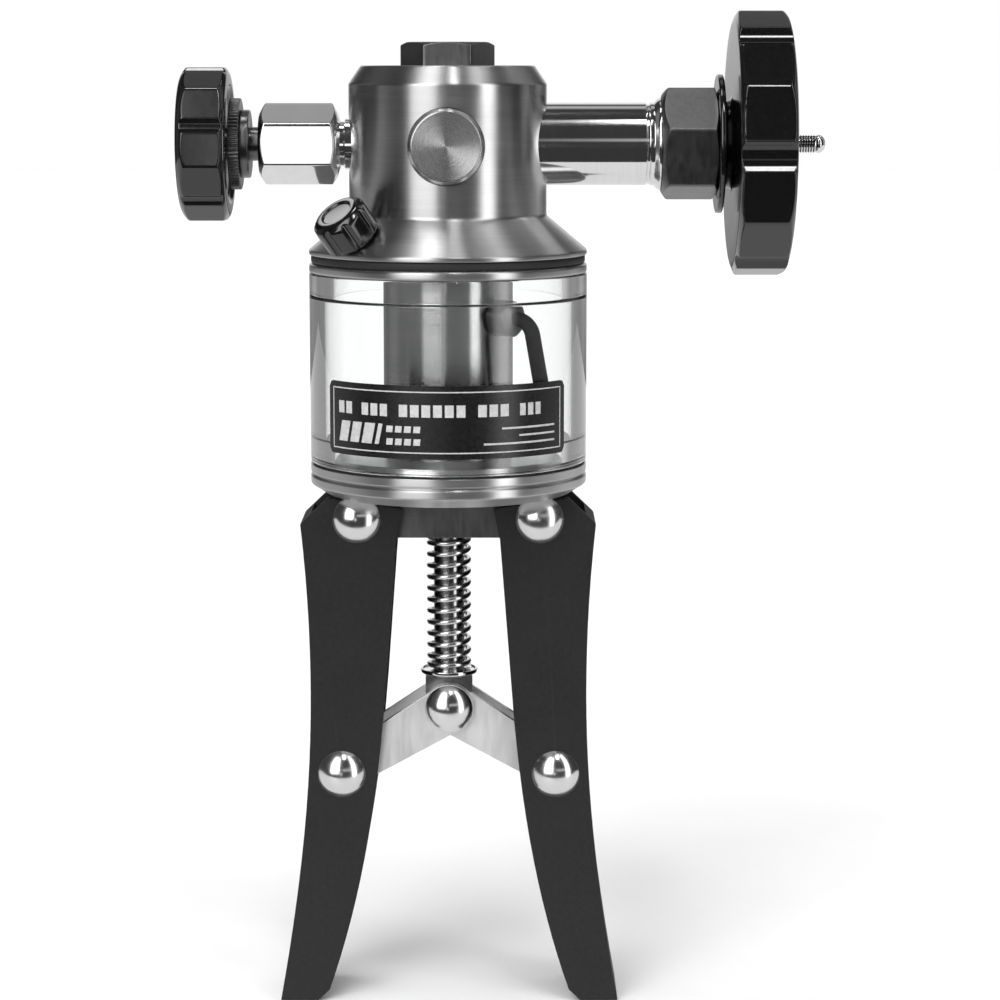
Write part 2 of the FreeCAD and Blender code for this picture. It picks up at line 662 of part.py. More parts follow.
# ---------------------------------------------------------------- reservoir
def make_reservoir():
    gasket_outer = "reservoir_radius - gasket_recess"
    bore = "reservoir_bore"
    gasket_z = "head_bottom_z - gasket_thickness"
    keep(tube("upper_gasket", gasket_outer, bore, "gasket_thickness", ("0", "0", gasket_z)))
    keep(tube("clamp_ring", "reservoir_radius", bore, f"{gasket_z} - tube_top_z", ("0", "0", "tube_top_z")))
    length = "tube_top_z - tube_bottom_z"
    keep(turned("reservoir_tube", [
        ("lip_bore", "0"), ("reservoir_radius", "0"), ("reservoir_radius", length), ("lip_bore", length),
        ("lip_bore", f"{length} - lip_height"), (bore, f"{length} - lip_height"), (bore, "lip_height"),
        ("lip_bore", "lip_height")], ("0", "0", "tube_bottom_z")))
    keep(tube("lower_gasket", gasket_outer, bore, "lower_gasket_thickness",
              ("0", "0", "tube_bottom_z - lower_gasket_thickness")))
    top = "tube_bottom_z - lower_gasket_thickness"
    flange = turned("base_blank", [
        ("0", "0"), ("base_bottom_radius", "0"), ("reservoir_radius", "rim_bottom_z - base_bottom_z"),
        ("reservoir_radius", "rim_groove_z - rim_groove_size - base_bottom_z"),
        ("reservoir_radius - rim_groove_size", "rim_groove_z - base_bottom_z"),
        ("reservoir_radius", "rim_groove_z + rim_groove_size - base_bottom_z"),
        ("reservoir_radius", f"{top} - base_bottom_z"), ("lower_spigot_radius", f"{top} - base_bottom_z"),
        ("lower_spigot_radius", "lower_spigot_z - base_bottom_z"), ("0", "lower_spigot_z - base_bottom_z")],
        ("0", "0", "base_bottom_z"))
    socket = cylinder("base_socket", "cylinder_radius + static_gap",
                      "lower_spigot_z - cylinder_bottom_z + static_gap",
                      ("0", "0", "cylinder_bottom_z - static_gap"))
    rod_hole = cylinder("base_rod_hole", "plunger_radius + base_rod_hole_play", "through",
                        ("0", "0", "base_bottom_z - overrun"))
    screw_holes = [cylinder(f"base_screw_hole_{side}", "yoke_screw_radius + static_gap",
                            "base_screw_depth + overrun",
                            (f"{side}1 * yoke_screw_x", "0", "base_bottom_z - overrun")) for side in ("-",
                                                                                                      "+")]
    keep(cut("base_flange", flange, socket, rod_hole, *screw_holes))


def make_label():
    """A printed plate bent round the front of the tube."""
    inner = dim("reservoir_radius") + dim("label_gap")
    height = dim("label_top_z") - dim("label_bottom_z")
    half = dim("label_half_angle")
    base = FreeCAD.Vector(0, 0, dim("label_bottom_z"))
    outside = Part.makeCylinder(inner + dim("label_thickness"), height, base, UP, 2 * half)
    inside = Part.makeCylinder(inner, height, base, UP, 2 * half)
    plate = outside.cut(inside)
    plate.rotate(FreeCAD.Vector(0, 0, 0), UP, 270 - half)
    keep(shaped("label_plate", plate))


def make_pump_cylinder():
    blank = turned("cylinder_blank", [
        ("0", "0"), ("cylinder_radius - cylinder_bevel", "0"), ("cylinder_radius", "cylinder_bevel"),
        ("cylinder_radius", "cylinder_top_z - cylinder_bottom_z - cylinder_bevel"),
        ("cylinder_radius - cylinder_bevel", "cylinder_top_z - cylinder_bottom_z"),
        ("0", "cylinder_top_z - cylinder_bottom_z")], ("0", "0", "cylinder_bottom_z"))
    bore = cylinder("cylinder_bore_tool", "cylinder_bore", "through", ("0", "0", "cylinder_bottom_z"))
    pocket = cylinder("cylinder_seal_pocket", "seal_pocket_radius", "seal_pocket_z - cylinder_bottom_z",
                      ("0", "0", "cylinder_bottom_z"))
    inlet = cylinder("cylinder_inlet", "fitting_neck_radius + static_gap", "cylinder_radius",
                     on_suction("fitting_root_x - static_gap"), suction_direction())
    inlet_gallery = cylinder("cylinder_inlet_gallery", "inlet_seat_bore", "cylinder_radius", on_suction("0"),
                             suction_direction())
    keep(cut("pump_cylinder", blank, bore, pocket, inlet, inlet_gallery))
    seal_base = "seal_pocket_z - rod_seal_length - rod_seal_slack"
    keep(tube("plunger_seal", "seal_pocket_radius - static_gap", "plunger_radius + running_gap",
              "rod_seal_length",
              ("0", "0", seal_base)))
    keep(tube("plunger_guide", "seal_pocket_radius - static_gap", "plunger_radius + running_gap",
              f"{seal_base} - rod_seal_slack - cylinder_bottom_z", ("0", "0", "cylinder_bottom_z")))


def suction_direction():
    """The way that the suction fitting points out of the pump cylinder."""
    azimuth = math.radians(dim("suction_azimuth"))
    return FreeCAD.Vector(math.cos(azimuth), -math.sin(azimuth), 0)


def on_suction(distance):
    """Base expressions for a point this far out from the pump axis along the suction fitting."""
    direction = suction_direction()
    return [f"({distance}) * {direction.x:.6f}", f"({distance}) * {direction.y:.6f}", "suction_z"]


def make_suction_line():
    outward = suction_direction()
    shoulder = "cylinder_radius + fitting_shoulder_gap - fitting_root_x"
    length = "fitting_end_x - fitting_root_x"
    body = turned("fitting_blank", [
        ("0", "0"), ("fitting_neck_radius", "0"), ("fitting_neck_radius", shoulder),
        ("fitting_radius", shoulder),
        ("fitting_radius", f"{length} - fitting_taper"), ("suction_tube_radius + fitting_lip", length),
        ("0", length)], on_suction("fitting_root_x"), outward)
    through = cylinder("fitting_through", "inlet_seat_bore", "through",
                       on_suction("fitting_root_x - overrun"), outward)
    chamber = cylinder("fitting_chamber", "inlet_chamber_radius", "inlet_seat_x - inlet_chamber_x",
                       on_suction("inlet_chamber_x"), outward)
    socket = cylinder("fitting_socket", "suction_tube_radius + static_gap", "through",
                      on_suction("fitting_end_x - fitting_socket_depth"), outward)
    keep(cut("suction_fitting", body, through, chamber, socket))
    back_off = math.sqrt(dim("inlet_ball_radius") ** 2 - dim("inlet_seat_bore") ** 2) + dim("static_gap")
    keep(ball("inlet_ball", "inlet_ball_radius", on_suction(f"inlet_seat_x - {back_off:.4f}")))
    ball_side = dim("inlet_seat_x") - back_off - dim("inlet_ball_radius") - dim("static_gap")
    foot = dim("inlet_chamber_x") + dim("static_gap")
    keep(coil("inlet_spring", dim("inlet_spring_radius"), dim("inlet_wire_radius"), ball_side - foot,
              dim("inlet_spring_turns"), outward * foot + UP * dim("suction_z"), outward))
    make_suction_tube()


def make_suction_tube():
    """A thin tube: out of the fitting, round one bend and down, leaning back, into the strainer."""
    outward = suction_direction()
    lean = math.radians(dim("suction_lean"))
    down = outward.cross(UP) * -math.sin(lean) - UP * math.cos(lean)
    bend = dim("suction_bend")
    bend_start = outward * dim("fitting_end_x") + UP * dim("suction_z")
    start = bend_start - outward * (dim("fitting_socket_depth") - dim("static_gap"))
    bend_end = bend_start + outward * bend + down * bend
    half_turn = math.pi / 4
    swing = outward * math.sin(half_turn) + down * (1 - math.cos(half_turn))
    bend_middle = bend_start + swing * bend
    end = bend_end + down * dim("suction_tube_length")
    path = Part.Wire([Part.LineSegment(start, bend_start).toShape(),
                      Part.Arc(bend_start, bend_middle, bend_end).toShape(),
                      Part.LineSegment(bend_end, end).toShape()])
    rings = [Part.Wire(Part.makeCircle(dim(radius), start, outward))
             for radius in ("suction_tube_radius", "suction_tube_bore")]
    outside, inside = [path.makePipeShell([ring_wire], True, True) for ring_wire in rings]
    keep(shaped("suction_tube", outside.cut(inside)))

    strainer_start = end - down * dim("strainer_overlap")
    hollow_length = dim("strainer_length") - dim("strainer_floor")
    shell = Part.makeCylinder(dim("strainer_radius"), dim("strainer_length"), strainer_start, down)
    hollow = Part.makeCylinder(dim("suction_tube_radius") + dim("static_gap"), hollow_length,
                               strainer_start, down)
    keep(shaped("suction_strainer", shell.cut(hollow)))


# ---------------------------------------------------------------- release valve
def make_release_valve():
    hexagon_part = hexagon("bonnet_hexagon", "bonnet_flats", "bonnet_end_x - bonnet_hex_x",
                           ("-bonnet_hex_x", "0", "cross_port_z"), LEFT)
    corner = "bonnet_flats * 0.58"
    length = "bonnet_end_x - bonnet_hex_x"
    crown = turned("bonnet_crown", [
        ("0", "0"), ("bonnet_flats / 2", "0"), (corner, "bonnet_crown"), (corner, f"{length} - bonnet_crown"),
        ("bonnet_flats / 2", length), ("0", length)], ("-bonnet_hex_x", "0", "cross_port_z"), LEFT)
    neck = cylinder("bonnet_neck", "bonnet_neck_radius", "bonnet_hex_x - bonnet_root_x + overrun",
                    ("-(bonnet_root_x + 2 * static_gap)", "0", "cross_port_z"), LEFT)
    bore = cylinder("bonnet_bore", "release_stem_radius + running_gap", "bonnet_end_x",
                    ("-(bonnet_root_x - overrun)", "0", "cross_port_z"), LEFT)
    pocket_x = "(bonnet_end_x - stem_seal_inset - stem_seal_play)"
    seal_pocket = cylinder("bonnet_seal_pocket", "release_stem_radius + stem_seal_width + stem_seal_play",
                           "stem_seal_length + 2 * stem_seal_play", (f"-{pocket_x}", "0", "cross_port_z"),
                           LEFT)
    nut = common("bonnet_nut", hexagon_part, crown)
    keep(cut("release_bonnet", fuse("bonnet_blank", nut, neck), bore, seal_pocket))
    keep(tube("release_stem_seal", "release_stem_radius + stem_seal_width",
              "release_stem_radius + running_gap",
              "stem_seal_length", ("-(bonnet_end_x - stem_seal_inset)", "0", "cross_port_z"), LEFT))
    step = "release_step_x - release_nose_x"
    collar = "release_collar_x - release_nose_x"
    end = "release_knob_x + release_knob_socket - release_nose_x"
    keep(turned("release_stem", [
        ("0", "0"), ("release_nose_radius", "0"), ("release_stem_radius", "release_nose_length"),
        ("release_stem_radius", step), ("release_step_radius", step), ("release_step_radius", collar),
        ("release_stem_radius", collar), ("release_stem_radius", end), ("0", end)],
        ("-release_nose_x", "0", "cross_port_z"), LEFT))
    keep(tube("release_collar", "release_collar_radius", "release_stem_radius + static_gap",
              "release_knob_x - release_collar_x - static_gap", ("-release_collar_x", "0", "cross_port_z"),
              LEFT))
    keep(ball("release_ball", "release_ball_radius", ("-release_ball_x", "0", "cross_port_z")))
    body = moulded_knob("release_knob", "release_knob_radius", "0", "release_knob_end_x - release_knob_x",
                        [("0", "0")], (RELEASE_NEAR_EDGE, RELEASE_FAR_EDGE), "release_flute_radius",
                        "release_flute_offset", facet_turn=15.0, flute_turn=45.0)
    bore_tool = cylinder("release_knob_bore", "release_stem_radius + static_gap",
                         "release_knob_socket + 2 * static_gap")
    knob = cut("release_knob", body, bore_tool)
    keep(place(knob, ("-release_knob_x", "0", "cross_port_z"), LEFT))


# ---------------------------------------------------------------- screw press
def make_screw_press():
    length = "barrel_end_x - barrel_root_x"
    shoulder = "head_radius - barrel_spot_depth - barrel_root_x + static_gap"
    blank = turned("barrel_blank", [
        ("0", "0"), ("barrel_stud_radius", "0"), ("barrel_stud_radius", shoulder),
        ("barrel_radius", shoulder),
        ("barrel_radius", f"{length} - barrel_collar_start"),
        ("barrel_radius + barrel_collar_rise", f"{length} - barrel_collar_end"),
        ("barrel_radius + barrel_collar_rise", length), ("0", length)],
        ("barrel_root_x + static_gap", "0", "cross_port_z"), RIGHT)
    bore = cylinder("barrel_bore_tool", "barrel_bore", "barrel_end_x",
                    ("barrel_root_x + barrel_floor", "0", "cross_port_z"), RIGHT)
    gallery = cylinder("barrel_gallery", "gallery_radius", "barrel_floor + 2 * overrun",
                       ("barrel_root_x - overrun", "0", "cross_port_z"), RIGHT)
    keep(cut("press_barrel", blank, bore, gallery))

    nut_x = "barrel_end_x + static_gap"
    nut_length = "press_nut_end_x - barrel_end_x - static_gap"
    corner = "press_nut_flats * 0.58"
    nut_hexagon = hexagon("press_nut_hexagon", "press_nut_flats", nut_length, (nut_x, "0", "cross_port_z"),
                          RIGHT,
                          dim("press_nut_turn"))
    crown = turned("press_nut_crown", [
        ("0", "0"), ("press_nut_flats * 0.48", "0"), (corner, "press_nut_crown"), (corner, nut_length),
        ("0", nut_length)],
        (nut_x, "0", "cross_port_z"), RIGHT)
    spigot = cylinder("press_nut_neck", "barrel_bore - static_gap", "press_nut_spigot + overrun",
                      ("barrel_end_x - press_nut_spigot", "0", "cross_port_z"), RIGHT)
    thread = cylinder("press_nut_thread", "spindle_radius + running_gap", "through",
                      ("barrel_end_x - press_nut_spigot - overrun", "0", "cross_port_z"), RIGHT)
    nut = fuse("press_nut_blank", common("press_nut_body", nut_hexagon, crown), spigot)
    keep(cut("press_nut", nut, thread))
    keep(tube("dust_disc", "dust_disc_radius", "spindle_radius + dust_disc_play",
              "dust_disc_end_x - press_nut_end_x - static_gap",
              ("press_nut_end_x + static_gap", "0", "cross_port_z"), RIGHT))

    piston = "barrel_bore - running_gap"
    groove = "barrel_bore - piston_groove_depth"
    keep(turned("press_piston", [
        ("0", "0"), (piston, "0"), (piston, "piston_groove_start"), (groove, "piston_groove_start"),
        (groove, "piston_groove_end"), (piston, "piston_groove_end"), (piston, "press_piston_length"),
        ("0", "press_piston_length")], ("press_piston_x", "0", "cross_port_z"), RIGHT))
    groove_middle = "press_piston_x + (piston_groove_start + piston_groove_end) / 2"
    keep(ring("press_piston_seal", "barrel_bore - piston_seal_offset", "piston_seal_cord",
              (groove_middle, "0", "cross_port_z"), RIGHT))

    tail = "press_knob_end_x - knob_cover - spindle_root_x"
    end = "spindle_end_x - spindle_root_x"
    keep(turned("press_spindle", [
        ("0", "0"), ("spindle_radius", "0"), ("spindle_radius", tail), ("spindle_tail_radius", tail),
        ("spindle_tail_radius", f"{end} - spindle_tip_drop"),
        ("spindle_tail_radius * 0.8", f"{end} - spindle_crown_drop"), ("spindle_tail_radius * 0.45", end),
        ("0", end)], ("spindle_root_x", "0", "cross_port_z"), RIGHT))

    hub = "press_knob_x - press_hub_x"
    hub_profile = [("0", "0"), ("press_hub_radius", "0"), ("press_hub_radius + press_hub_bevel", hub)]
    body = moulded_knob("press_knob", "press_knob_radius", hub, "press_knob_end_x - press_hub_x", hub_profile,
                        (PRESS_NEAR_EDGE, PRESS_FAR_EDGE), "press_flute_radius", "press_flute_offset",
                        facet_turn=4.0, flute_turn=34.0)
    thread_bore = cylinder("press_knob_bore", "spindle_radius + static_gap",
                           "press_knob_end_x - knob_cover - press_hub_x + 2 * static_gap")
    tail_bore = cylinder("press_knob_tail_bore", "spindle_tail_radius + static_gap", "through")
    knob = cut("press_knob", body, thread_bore, tail_bore)
    keep(place(knob, ("press_hub_x", "0", "cross_port_z"), RIGHT))


# ---------------------------------------------------------------- yoke, handles and links
def make_yoke():
    top = "base_bottom_z - static_gap"
    bar = block("yoke_bar", "2 * upper_pivot_x", "2 * yoke_half_width", f"{top} - yoke_bottom_z",
                ("-upper_pivot_x", "-yoke_half_width", "yoke_bottom_z"))
    signs = ("-", "+")
    ends = [cylinder(f"yoke_end_{side}", "yoke_end_radius", "2 * yoke_half_width",
                     (f"{side}1 * upper_pivot_x", "-yoke_half_width", "upper_pivot_z"),
                     BACK) for side in signs]
    holes = [cylinder(f"yoke_rivet_hole_{side}", "rivet_radius + static_gap", "through",
                      (f"{side}1 * upper_pivot_x", "-through / 2", "upper_pivot_z"), BACK) for side in signs]
    rod_hole = cylinder("yoke_rod_hole", "plunger_radius + yoke_rod_hole_play", "through",
                        ("0", "0", "yoke_bottom_z - overrun"))
    screw_holes = []
    screws = []
    for side in signs:
        x = f"{side}1 * yoke_screw_x"
        screw_holes.append(cylinder(f"yoke_screw_hole_{side}", "yoke_screw_radius + static_gap", "through",
                                    (x, "0", "yoke_bottom_z")))
        screw_holes.append(cylinder(f"yoke_screw_pocket_{side}", "yoke_screw_head + yoke_screw_head_play",
                                    "yoke_pocket_depth", (x, "0", "yoke_bottom_z")))
        screw_head = cylinder(f"screw_head_{side}", "yoke_screw_head", "yoke_screw_head_height",
                              (x, "0", "yoke_bottom_z + yoke_screw_recess"))
        shank = cylinder(f"screw_shank_{side}", "yoke_screw_radius", "yoke_screw_length",
                         (x, "0", "yoke_bottom_z + yoke_screw_head_height"))
        key = hexagon(f"screw_key_{side}", "yoke_screw_key", "yoke_screw_key_depth",
                      (x, "0", "yoke_bottom_z"))
        screws.append(cut(f"yoke_screw_{side}", fuse(f"screw_blank_{side}", screw_head, shank), key))
    keep(cut("yoke_block", fuse("yoke_blank", bar, *ends), *holes, rod_hole, *screw_holes))
    keep(group("yoke_screws", *screws))
    reach = "handle_half_depth + running_gap"
    keep(group("yoke_rivets", *[rivet(f"yoke_rivet_{side}", "rivet_radius", reach, f"{side}1 * upper_pivot_x",
                                      "upper_pivot_z") for side in signs]))


def handle_outline(outer_inset):
    """The handle's side view as a face, its outer edge moved in by outer_inset."""
    outer = [FreeCAD.Vector(x - outer_inset, 0, z) for x, z in HANDLE_OUTER_EDGE]
    inner = [FreeCAD.Vector(x, 0, z) for x, z in HANDLE_INNER_EDGE]
    shoulder = [FreeCAD.Vector(x, 0, z) for x, z in HANDLE_SHOULDER]
    shoulder[1] -= FreeCAD.Vector(outer_inset, 0, 0)
    outer_curve = Part.BSplineCurve()
    outer_curve.interpolate(outer)
    inner_curve = Part.BSplineCurve()
    inner_curve.interpolate(inner)
    tip_middle = FreeCAD.Vector((outer[-1].x + inner[0].x) / 2, 0, outer[-1].z) + TIP_BULGE
    edges = [Part.LineSegment(shoulder[0], shoulder[1]), Part.LineSegment(shoulder[1], outer[0]), outer_curve,
             Part.LineSegment(outer[-1], tip_middle), Part.LineSegment(tip_middle, inner[0]), inner_curve,
             Part.LineSegment(inner[-1], shoulder[0])]
    return Part.Face(Part.Wire([edge.toShape() for edge in edges]))


def make_handle(label, side):
    """A channel open towards the pump axis: two plates and the web along the outer edge."""
    depth = dim("handle_half_depth")
    wall = dim("handle_wall")
    channel = handle_outline(0).extrude(FreeCAD.Vector(0, 2 * depth, 0))
    channel.translate(FreeCAD.Vector(0, -depth, 0))
    cavity = handle_outline(wall).extrude(FreeCAD.Vector(0, 2 * (depth - wall), 0))
    cavity.translate(FreeCAD.Vector(0, wall - depth, 0))
    # The cavity also opens through the shoulder and the tip, where the channel has no web.
    shoulder = Part.makeBox(SHOULDER_OPENING.x, 2 * depth, SHOULDER_OPENING.z,
                            FreeCAD.Vector(0, -depth, dim("upper_pivot_z") - dim("overrun")))
    channel = channel.cut(cavity)
    channel = channel.cut(cavity.translated(FreeCAD.Vector(-wall, 0, 0)))
    channel = channel.cut(cavity.translated(FreeCAD.Vector(0, 0, 2 * wall)).common(shoulder))
    for x, z, radius in (("upper_pivot_x", "upper_pivot_z", dim("rivet_radius") + dim("running_gap")),
                         ("lower_pivot_x", "lower_pivot_z", dim("link_pin_radius") + HANDLE_PIN_GAP)):
        centre = FreeCAD.Vector(dim(x), -2 * depth, dim(z))
        channel = channel.cut(Part.makeCylinder(radius, 4 * depth, centre, BACK))
    channel = channel.removeSplitter()
    if side < 0:
        channel = channel.mirror(FreeCAD.Vector(0, 0, 0), RIGHT)
    keep(shaped(label, channel))


def make_handles():
    make_handle("handle_left", -1)
    make_handle("handle_right", 1)
    reach = "handle_half_depth + static_gap"
    keep(rivet("link_rivet_left", "link_pin_radius", reach, "-lower_pivot_x", "lower_pivot_z"))
    keep(rivet("link_rivet_right", "link_pin_radius", reach, "lower_pivot_x", "lower_pivot_z"))


def link_plate(near_y, side):
    """One bar from the centre rivet to the handle's rivet, in the XZ plane, its nearer face at near_y."""
    centre = FreeCAD.Vector(0, near_y, dim("centre_pivot_z"))
    slope = math.radians(dim("link_slope"))
    along = FreeCAD.Vector(side * math.cos(slope), 0, -math.sin(slope))
    across = FreeCAD.Vector(-along.z, 0, along.x)
    tip = centre + along * dim("link_length")
    thickness = dim("link_thickness")
    big = dim("link_end_radius")
    small = dim("link_tip_radius")
    # The sides are the two circles' common tangents.
    lean = math.asin((big - small) / dim("link_length"))
    offsets = [along * math.sin(lean) + across * (sign * math.cos(lean)) for sign in (1, -1)]
    near_corners = [centre + offset * big for offset in offsets]
    far_corners = [tip + offset * small for offset in offsets]
    outline = [near_corners[0], far_corners[0], far_corners[1], near_corners[1], near_corners[0]]
    web = Part.Face(Part.makePolygon(outline)).extrude(BACK * thickness)
    eyes = [Part.makeCylinder(big, thickness, centre, BACK), Part.makeCylinder(small, thickness, tip, BACK)]
    bar = web.fuse(eyes)
    centre_hole = Part.makeCylinder(dim("rivet_radius") + dim("running_gap"), thickness, centre, BACK)
    tip_hole = Part.makeCylinder(dim("link_pin_radius") + dim("link_pin_play"), thickness, tip, BACK)
    return bar.cut(centre_hole).cut(tip_hole).removeSplitter()


def make_links():
    for label, side, near in (("link_left", -1, dim("outer_link_y")), ("link_right", 1, dim("inner_link_y"))):
        plates = [link_plate(near, side), link_plate(-near - dim("link_thickness"), side)]
        keep(shaped(label, Part.makeCompound(plates)))


def make_plunger():
    tenon_z = "(crosshead_top_z - tenon_length)"
    keep(turned("plunger", [
        ("0", "0"), ("tenon_radius", "0"), ("tenon_radius", "tenon_length"),
        ("plunger_radius", "tenon_length"),
        ("plunger_radius", f"plunger_top_z - {tenon_z} - plunger_bevel"),
        ("plunger_radius - plunger_bevel", f"plunger_top_z - {tenon_z}"),
        ("0", f"plunger_top_z - {tenon_z}")], ("0", "0", tenon_z)))
    bar = block("crosshead_bar", "2 * crosshead_half_width", "2 * crosshead_half_depth",
                "crosshead_top_z - static_gap - centre_pivot_z",
                ("-crosshead_half_width", "-crosshead_half_depth", "centre_pivot_z"))
    foot = cylinder("crosshead_foot", "crosshead_half_width", "2 * crosshead_half_depth",
                    ("0", "-crosshead_half_depth", "centre_pivot_z"), BACK)
    socket = cylinder("crosshead_socket", "tenon_radius + static_gap", "through",
                      ("0", "0", f"{tenon_z} - static_gap"))
    hole = cylinder("crosshead_hole", "rivet_radius + static_gap", "through",
                    ("0", "-through / 2", "centre_pivot_z"), BACK)
    keep(cut("crosshead", fuse("crosshead_blank", bar, foot), socket, hole))
    keep(rivet("centre_rivet", "rivet_radius", "outer_link_y + link_thickness + centre_rivet_play", "0",
               "centre_pivot_z"))
    bore = "plunger_radius + static_gap"
    keep(turned("spring_washer", [
        (bore, "0"), ("washer_radius - washer_foot_inset", "0"), ("washer_radius", "washer_foot_rise"),
        ("washer_radius", "washer_top_z - crosshead_top_z"),
        ("washer_radius - washer_lip", "washer_top_z - crosshead_top_z"),
        ("washer_radius - washer_dish_inset", "washer_top_z - crosshead_top_z - washer_dish"),
        (bore, "washer_top_z - crosshead_top_z - washer_dish")], ("0", "0", "crosshead_top_z")))
    foot_z = dim("washer_top_z") - dim("washer_dish") + dim("spring_foot_gap")
    length = dim("yoke_bottom_z") - dim("static_gap") - foot_z
    keep(coil("return_spring", dim("spring_radius"), dim("spring_wire_radius"), length, dim("spring_turns"),
              FreeCAD.Vector(0, 0, foot_z)))


# ---------------------------------------------------------------- build, check and write
make_adaptor()
make_head()
make_front_plug()
make_filler_cap()
make_outlet_check()
make_reservoir()
make_label()
make_pump_cylinder()
make_suction_line()
make_release_valve()
make_screw_press()
make_yoke()
make_handles()
make_links()
make_plunger()
DOC.recompute()

for item in DOC.Objects:
    if "Invalid" in item.State or "Error" in item.State:
        raise RuntimeError(f"{item.Label} failed: {item.State}")
for node in NODES:
    if node.Shape.isNull() or not node.Shape.isValid() or not node.Shape.Solids:
        raise RuntimeError(f"{node.Label} has no valid solid")

os.makedirs("parts", exist_ok=True)
for node in NODES:
    node.Shape.exportStep(f"parts/{node.Label}.step")
    bounds = node.Shape.BoundBox
    print(f"{node.Label:20s} solids {len(node.Shape.Solids)}  volume {node.Shape.Volume:9.1f}"
          f"  x {bounds.XMin:7.1f} {bounds.XMax:7.1f}  y {bounds.YMin:6.1f} {bounds.YMax:6.1f}"
          f"  z {bounds.ZMin:7.1f} {bounds.ZMax:7.1f}")
print(len(NODES), "nodes")
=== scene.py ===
"""Looks of the scissor-handle hydraulic hand pump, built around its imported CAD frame.

Lengths are millimetres until a mesh is made. Turned and hexagonal pieces are rebuilt finely in the
place of their CAD solids, and the bent and milled ones get rounded edges on the CAD shape.
"""
import json
import math

import bmesh
import bpy
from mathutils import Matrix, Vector

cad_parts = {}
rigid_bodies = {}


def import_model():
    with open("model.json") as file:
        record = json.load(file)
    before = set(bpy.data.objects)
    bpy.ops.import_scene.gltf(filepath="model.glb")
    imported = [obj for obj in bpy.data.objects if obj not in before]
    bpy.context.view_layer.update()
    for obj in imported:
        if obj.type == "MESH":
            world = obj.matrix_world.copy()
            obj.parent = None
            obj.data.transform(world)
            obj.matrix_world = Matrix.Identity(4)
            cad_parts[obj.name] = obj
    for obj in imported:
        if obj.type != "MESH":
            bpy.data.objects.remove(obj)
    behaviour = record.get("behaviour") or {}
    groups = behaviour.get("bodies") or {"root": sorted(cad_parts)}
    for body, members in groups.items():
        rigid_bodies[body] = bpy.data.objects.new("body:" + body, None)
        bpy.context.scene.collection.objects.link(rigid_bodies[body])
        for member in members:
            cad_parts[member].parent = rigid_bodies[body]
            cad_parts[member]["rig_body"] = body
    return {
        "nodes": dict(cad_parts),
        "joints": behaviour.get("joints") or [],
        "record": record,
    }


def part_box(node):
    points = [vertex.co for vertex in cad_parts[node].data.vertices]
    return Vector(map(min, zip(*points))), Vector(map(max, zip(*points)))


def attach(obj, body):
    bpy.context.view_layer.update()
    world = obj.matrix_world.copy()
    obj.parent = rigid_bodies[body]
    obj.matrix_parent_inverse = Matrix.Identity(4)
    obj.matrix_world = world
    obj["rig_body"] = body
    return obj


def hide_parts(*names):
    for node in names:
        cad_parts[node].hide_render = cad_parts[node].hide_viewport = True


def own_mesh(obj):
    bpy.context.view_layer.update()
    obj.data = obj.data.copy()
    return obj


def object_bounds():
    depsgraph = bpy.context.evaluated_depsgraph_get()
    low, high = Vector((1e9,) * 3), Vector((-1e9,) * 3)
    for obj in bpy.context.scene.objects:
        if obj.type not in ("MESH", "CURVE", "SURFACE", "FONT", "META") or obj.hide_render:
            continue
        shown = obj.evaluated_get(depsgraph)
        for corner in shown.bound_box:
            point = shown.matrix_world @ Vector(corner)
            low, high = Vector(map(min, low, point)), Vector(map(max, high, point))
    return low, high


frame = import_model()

CAD_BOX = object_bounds()
MM = 0.001
NODES = frame["nodes"]
SLOT_OF = {row["node"]: row["material_slot"] for row in frame["record"]["subparts"]}

UP = Vector((0, 0, 1))
LEFT = Vector((-1, 0, 0))
RIGHT = Vector((1, 0, 0))
FRONT = Vector((0, -1, 0))
BACK = Vector((0, 1, 0))

FINE = 360       # steps round a plain turned piece
FACETED = 720    # steps round a piece with flats or flutes
CREASE = 32.0    # degrees between two faces beyond which their edge stays sharp


def box(node):
    """A CAD node's lowest and highest corners, in millimetres."""
    return [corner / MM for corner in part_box(node)]


def joint_named(name):
    """The frame's row for a joint."""
    return next(row for row in frame["joints"] if row["name"] == name)


# ---------------------------------------------------------------- materials
def start_material(name, **sockets):
    """A new material, its node tree and its shader with these constant sockets."""
    made = bpy.data.materials.new(name)
    made.use_nodes = True
    shader = made.node_tree.nodes["Principled BSDF"]
    for socket, value in sockets.items():
        shader.inputs[socket.replace("_", " ")].default_value = value
    return made, made.node_tree, shader


def add(tree, kind, inputs=(), **settings):
    """A node with its settings, whose inputs are sockets to link or constants, by number or name."""
    made = tree.nodes.new(kind)
    for key, value in settings.items():
        setattr(made, key, value)
    for key, value in dict(inputs).items():
        if isinstance(value, bpy.types.NodeSocket):
            tree.links.new(value, made.inputs[key])
        else:
            made.inputs[key].default_value = value
    return made


def maths(tree, operation, *values):
    return add(tree, "ShaderNodeMath", dict(enumerate(values)), operation=operation).outputs[0]


def object_point(tree):
    return add(tree, "ShaderNodeTexCoord").outputs["Object"]


def noise(tree, vector, scale, detail=3.0, roughness=0.5):
    return add(tree, "ShaderNodeTexNoise", {"Vector": vector, "Scale": scale, "Detail": detail,
                                            "Roughness": roughness}).outputs["Fac"]


def remap(tree, value, low, high, start=0.3, end=0.7):
    return add(tree, "ShaderNodeMapRange", {"Value": value, "From Min": start, "From Max": end,
                                            "To Min": low, "To Max": high}).outputs["Result"]


